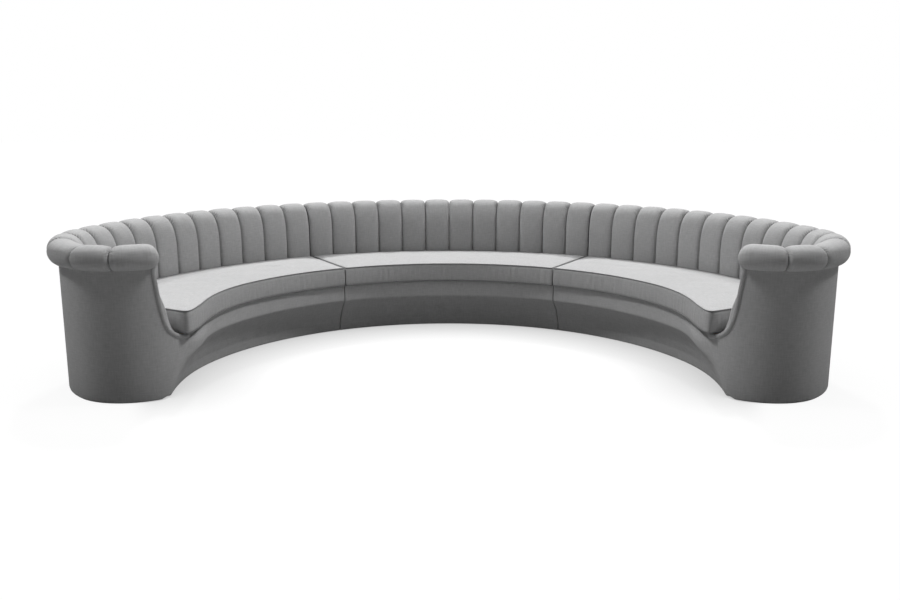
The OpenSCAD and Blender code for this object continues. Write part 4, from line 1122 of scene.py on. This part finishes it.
floor_mesh = bpy.data.meshes.new("floor")
floor_mesh.from_pydata([(-30, -20, 0), (30, -20, 0), (30, 40, 0), (-30, 40, 0)], [], [(0, 1, 2, 3)])
in_scene("floor", floor_mesh)
material = bpy.data.materials.new("floor_white")
make = new_nodes(material)
seen = make("ShaderNodeLightPath").outputs["Is Camera Ray"]
pale = make.math("MULTIPLY_ADD", seen, FLOOR_SEEN - FLOOR_PALE, FLOOR_PALE)
pale = make("ShaderNodeCombineColor", {0: pale, 1: pale, 2: pale}).outputs[0]
diffuse = make("ShaderNodeBsdfDiffuse", {"Color": pale}).outputs[0]
blocked = make("ShaderNodeAmbientOcclusion", {"Distance": SHADE_REACH}, samples=12).outputs["AO"]
blocked = make.math("SUBTRACT", 1.0, blocked)
place = make("ShaderNodeTexCoord").outputs["Object"]
away = make("ShaderNodeVectorMath", {0: place, 1: (0, -SHIFT, 0)}, operation="DISTANCE").outputs["Value"]
inside = make("ShaderNodeMapRange", {"Value": away, "From Min": OUTSIDE_R, "From Max": INSIDE_R,
                                     "To Min": SHADE_OUTSIDE, "To Max": SHADE_INSIDE},
              interpolation_type="SMOOTHSTEP").outputs[0]
glow = make.math("SUBTRACT", FLOOR_GLOW, make.math("MULTIPLY", blocked, inside))
glow = make("ShaderNodeEmission", {"Strength": make.math("MULTIPLY", seen, glow)}).outputs[0]
both = make("ShaderNodeAddShader", {0: diffuse, 1: glow}).outputs[0]
make("ShaderNodeOutputMaterial", {"Surface": both})
floor_mesh.materials.append(material)

world = bpy.data.worlds.new("studio")
bpy.context.scene.world = world
make = new_nodes(world)
seen = make("ShaderNodeLightPath").outputs["Is Camera Ray"]
strength = make.math("MULTIPLY_ADD", seen, 1 - AMBIENT, AMBIENT)
sky = make("ShaderNodeBackground", {"Color": (1, 1, 1, 1), "Strength": strength}).outputs[0]
make("ShaderNodeOutputWorld", {"Surface": sky})


# %% Lights
def place_light(name, kind, toward, energy, location=(0, 0, 4)):
    light = bpy.data.lights.new(name, kind)
    light.energy = energy
    obj = in_scene(name, light)
    obj.location = location
    obj.rotation_mode = "QUATERNION"
    obj.rotation_quaternion = Vector(toward).to_track_quat("-Z", "Y")
    return light


place_light("back_light", "SUN", (0.0, -0.78, -1.0), 2.8).angle = math.radians(5)
place_light("top_light", "SUN", (0.0, 0.0, -1.0), 0.30).angle = math.radians(40)
place_light("right_light", "SUN", (-1.0, -0.12, -1.25), 1.25).angle = math.radians(8)
place_light("left_light", "SUN", (1.0, -0.14, -1.25), 1.25).angle = math.radians(8)
place_light("front_box", "AREA", (0.0, 2.0, -2.1), 4.0, (0.0, -1.2, 2.4)).size = 1.2
place_light("steep_box", "AREA", (0.0, 0.9, -2.5), 8.5, (0.0, -0.50, 2.8)).size = 0.6
place_light("low_box", "AREA", (0.0, 2.0, -0.85), 1.5, (0.0, -1.0, 1.2)).size = 1.0

# %% Camera
camera_data = bpy.data.cameras.new("camera")
camera_data.sensor_width = 36.0
camera_data.lens = 35.995
camera = in_scene("camera", camera_data)
camera.location = (0.0102, -4.5001 - SHIFT, 1.3860)
camera.rotation_euler = (math.radians(90 - 11.63), 0.0, math.radians(0.036))
bpy.context.scene.camera = camera
bpy.context.scene.view_settings.view_transform = "Standard"
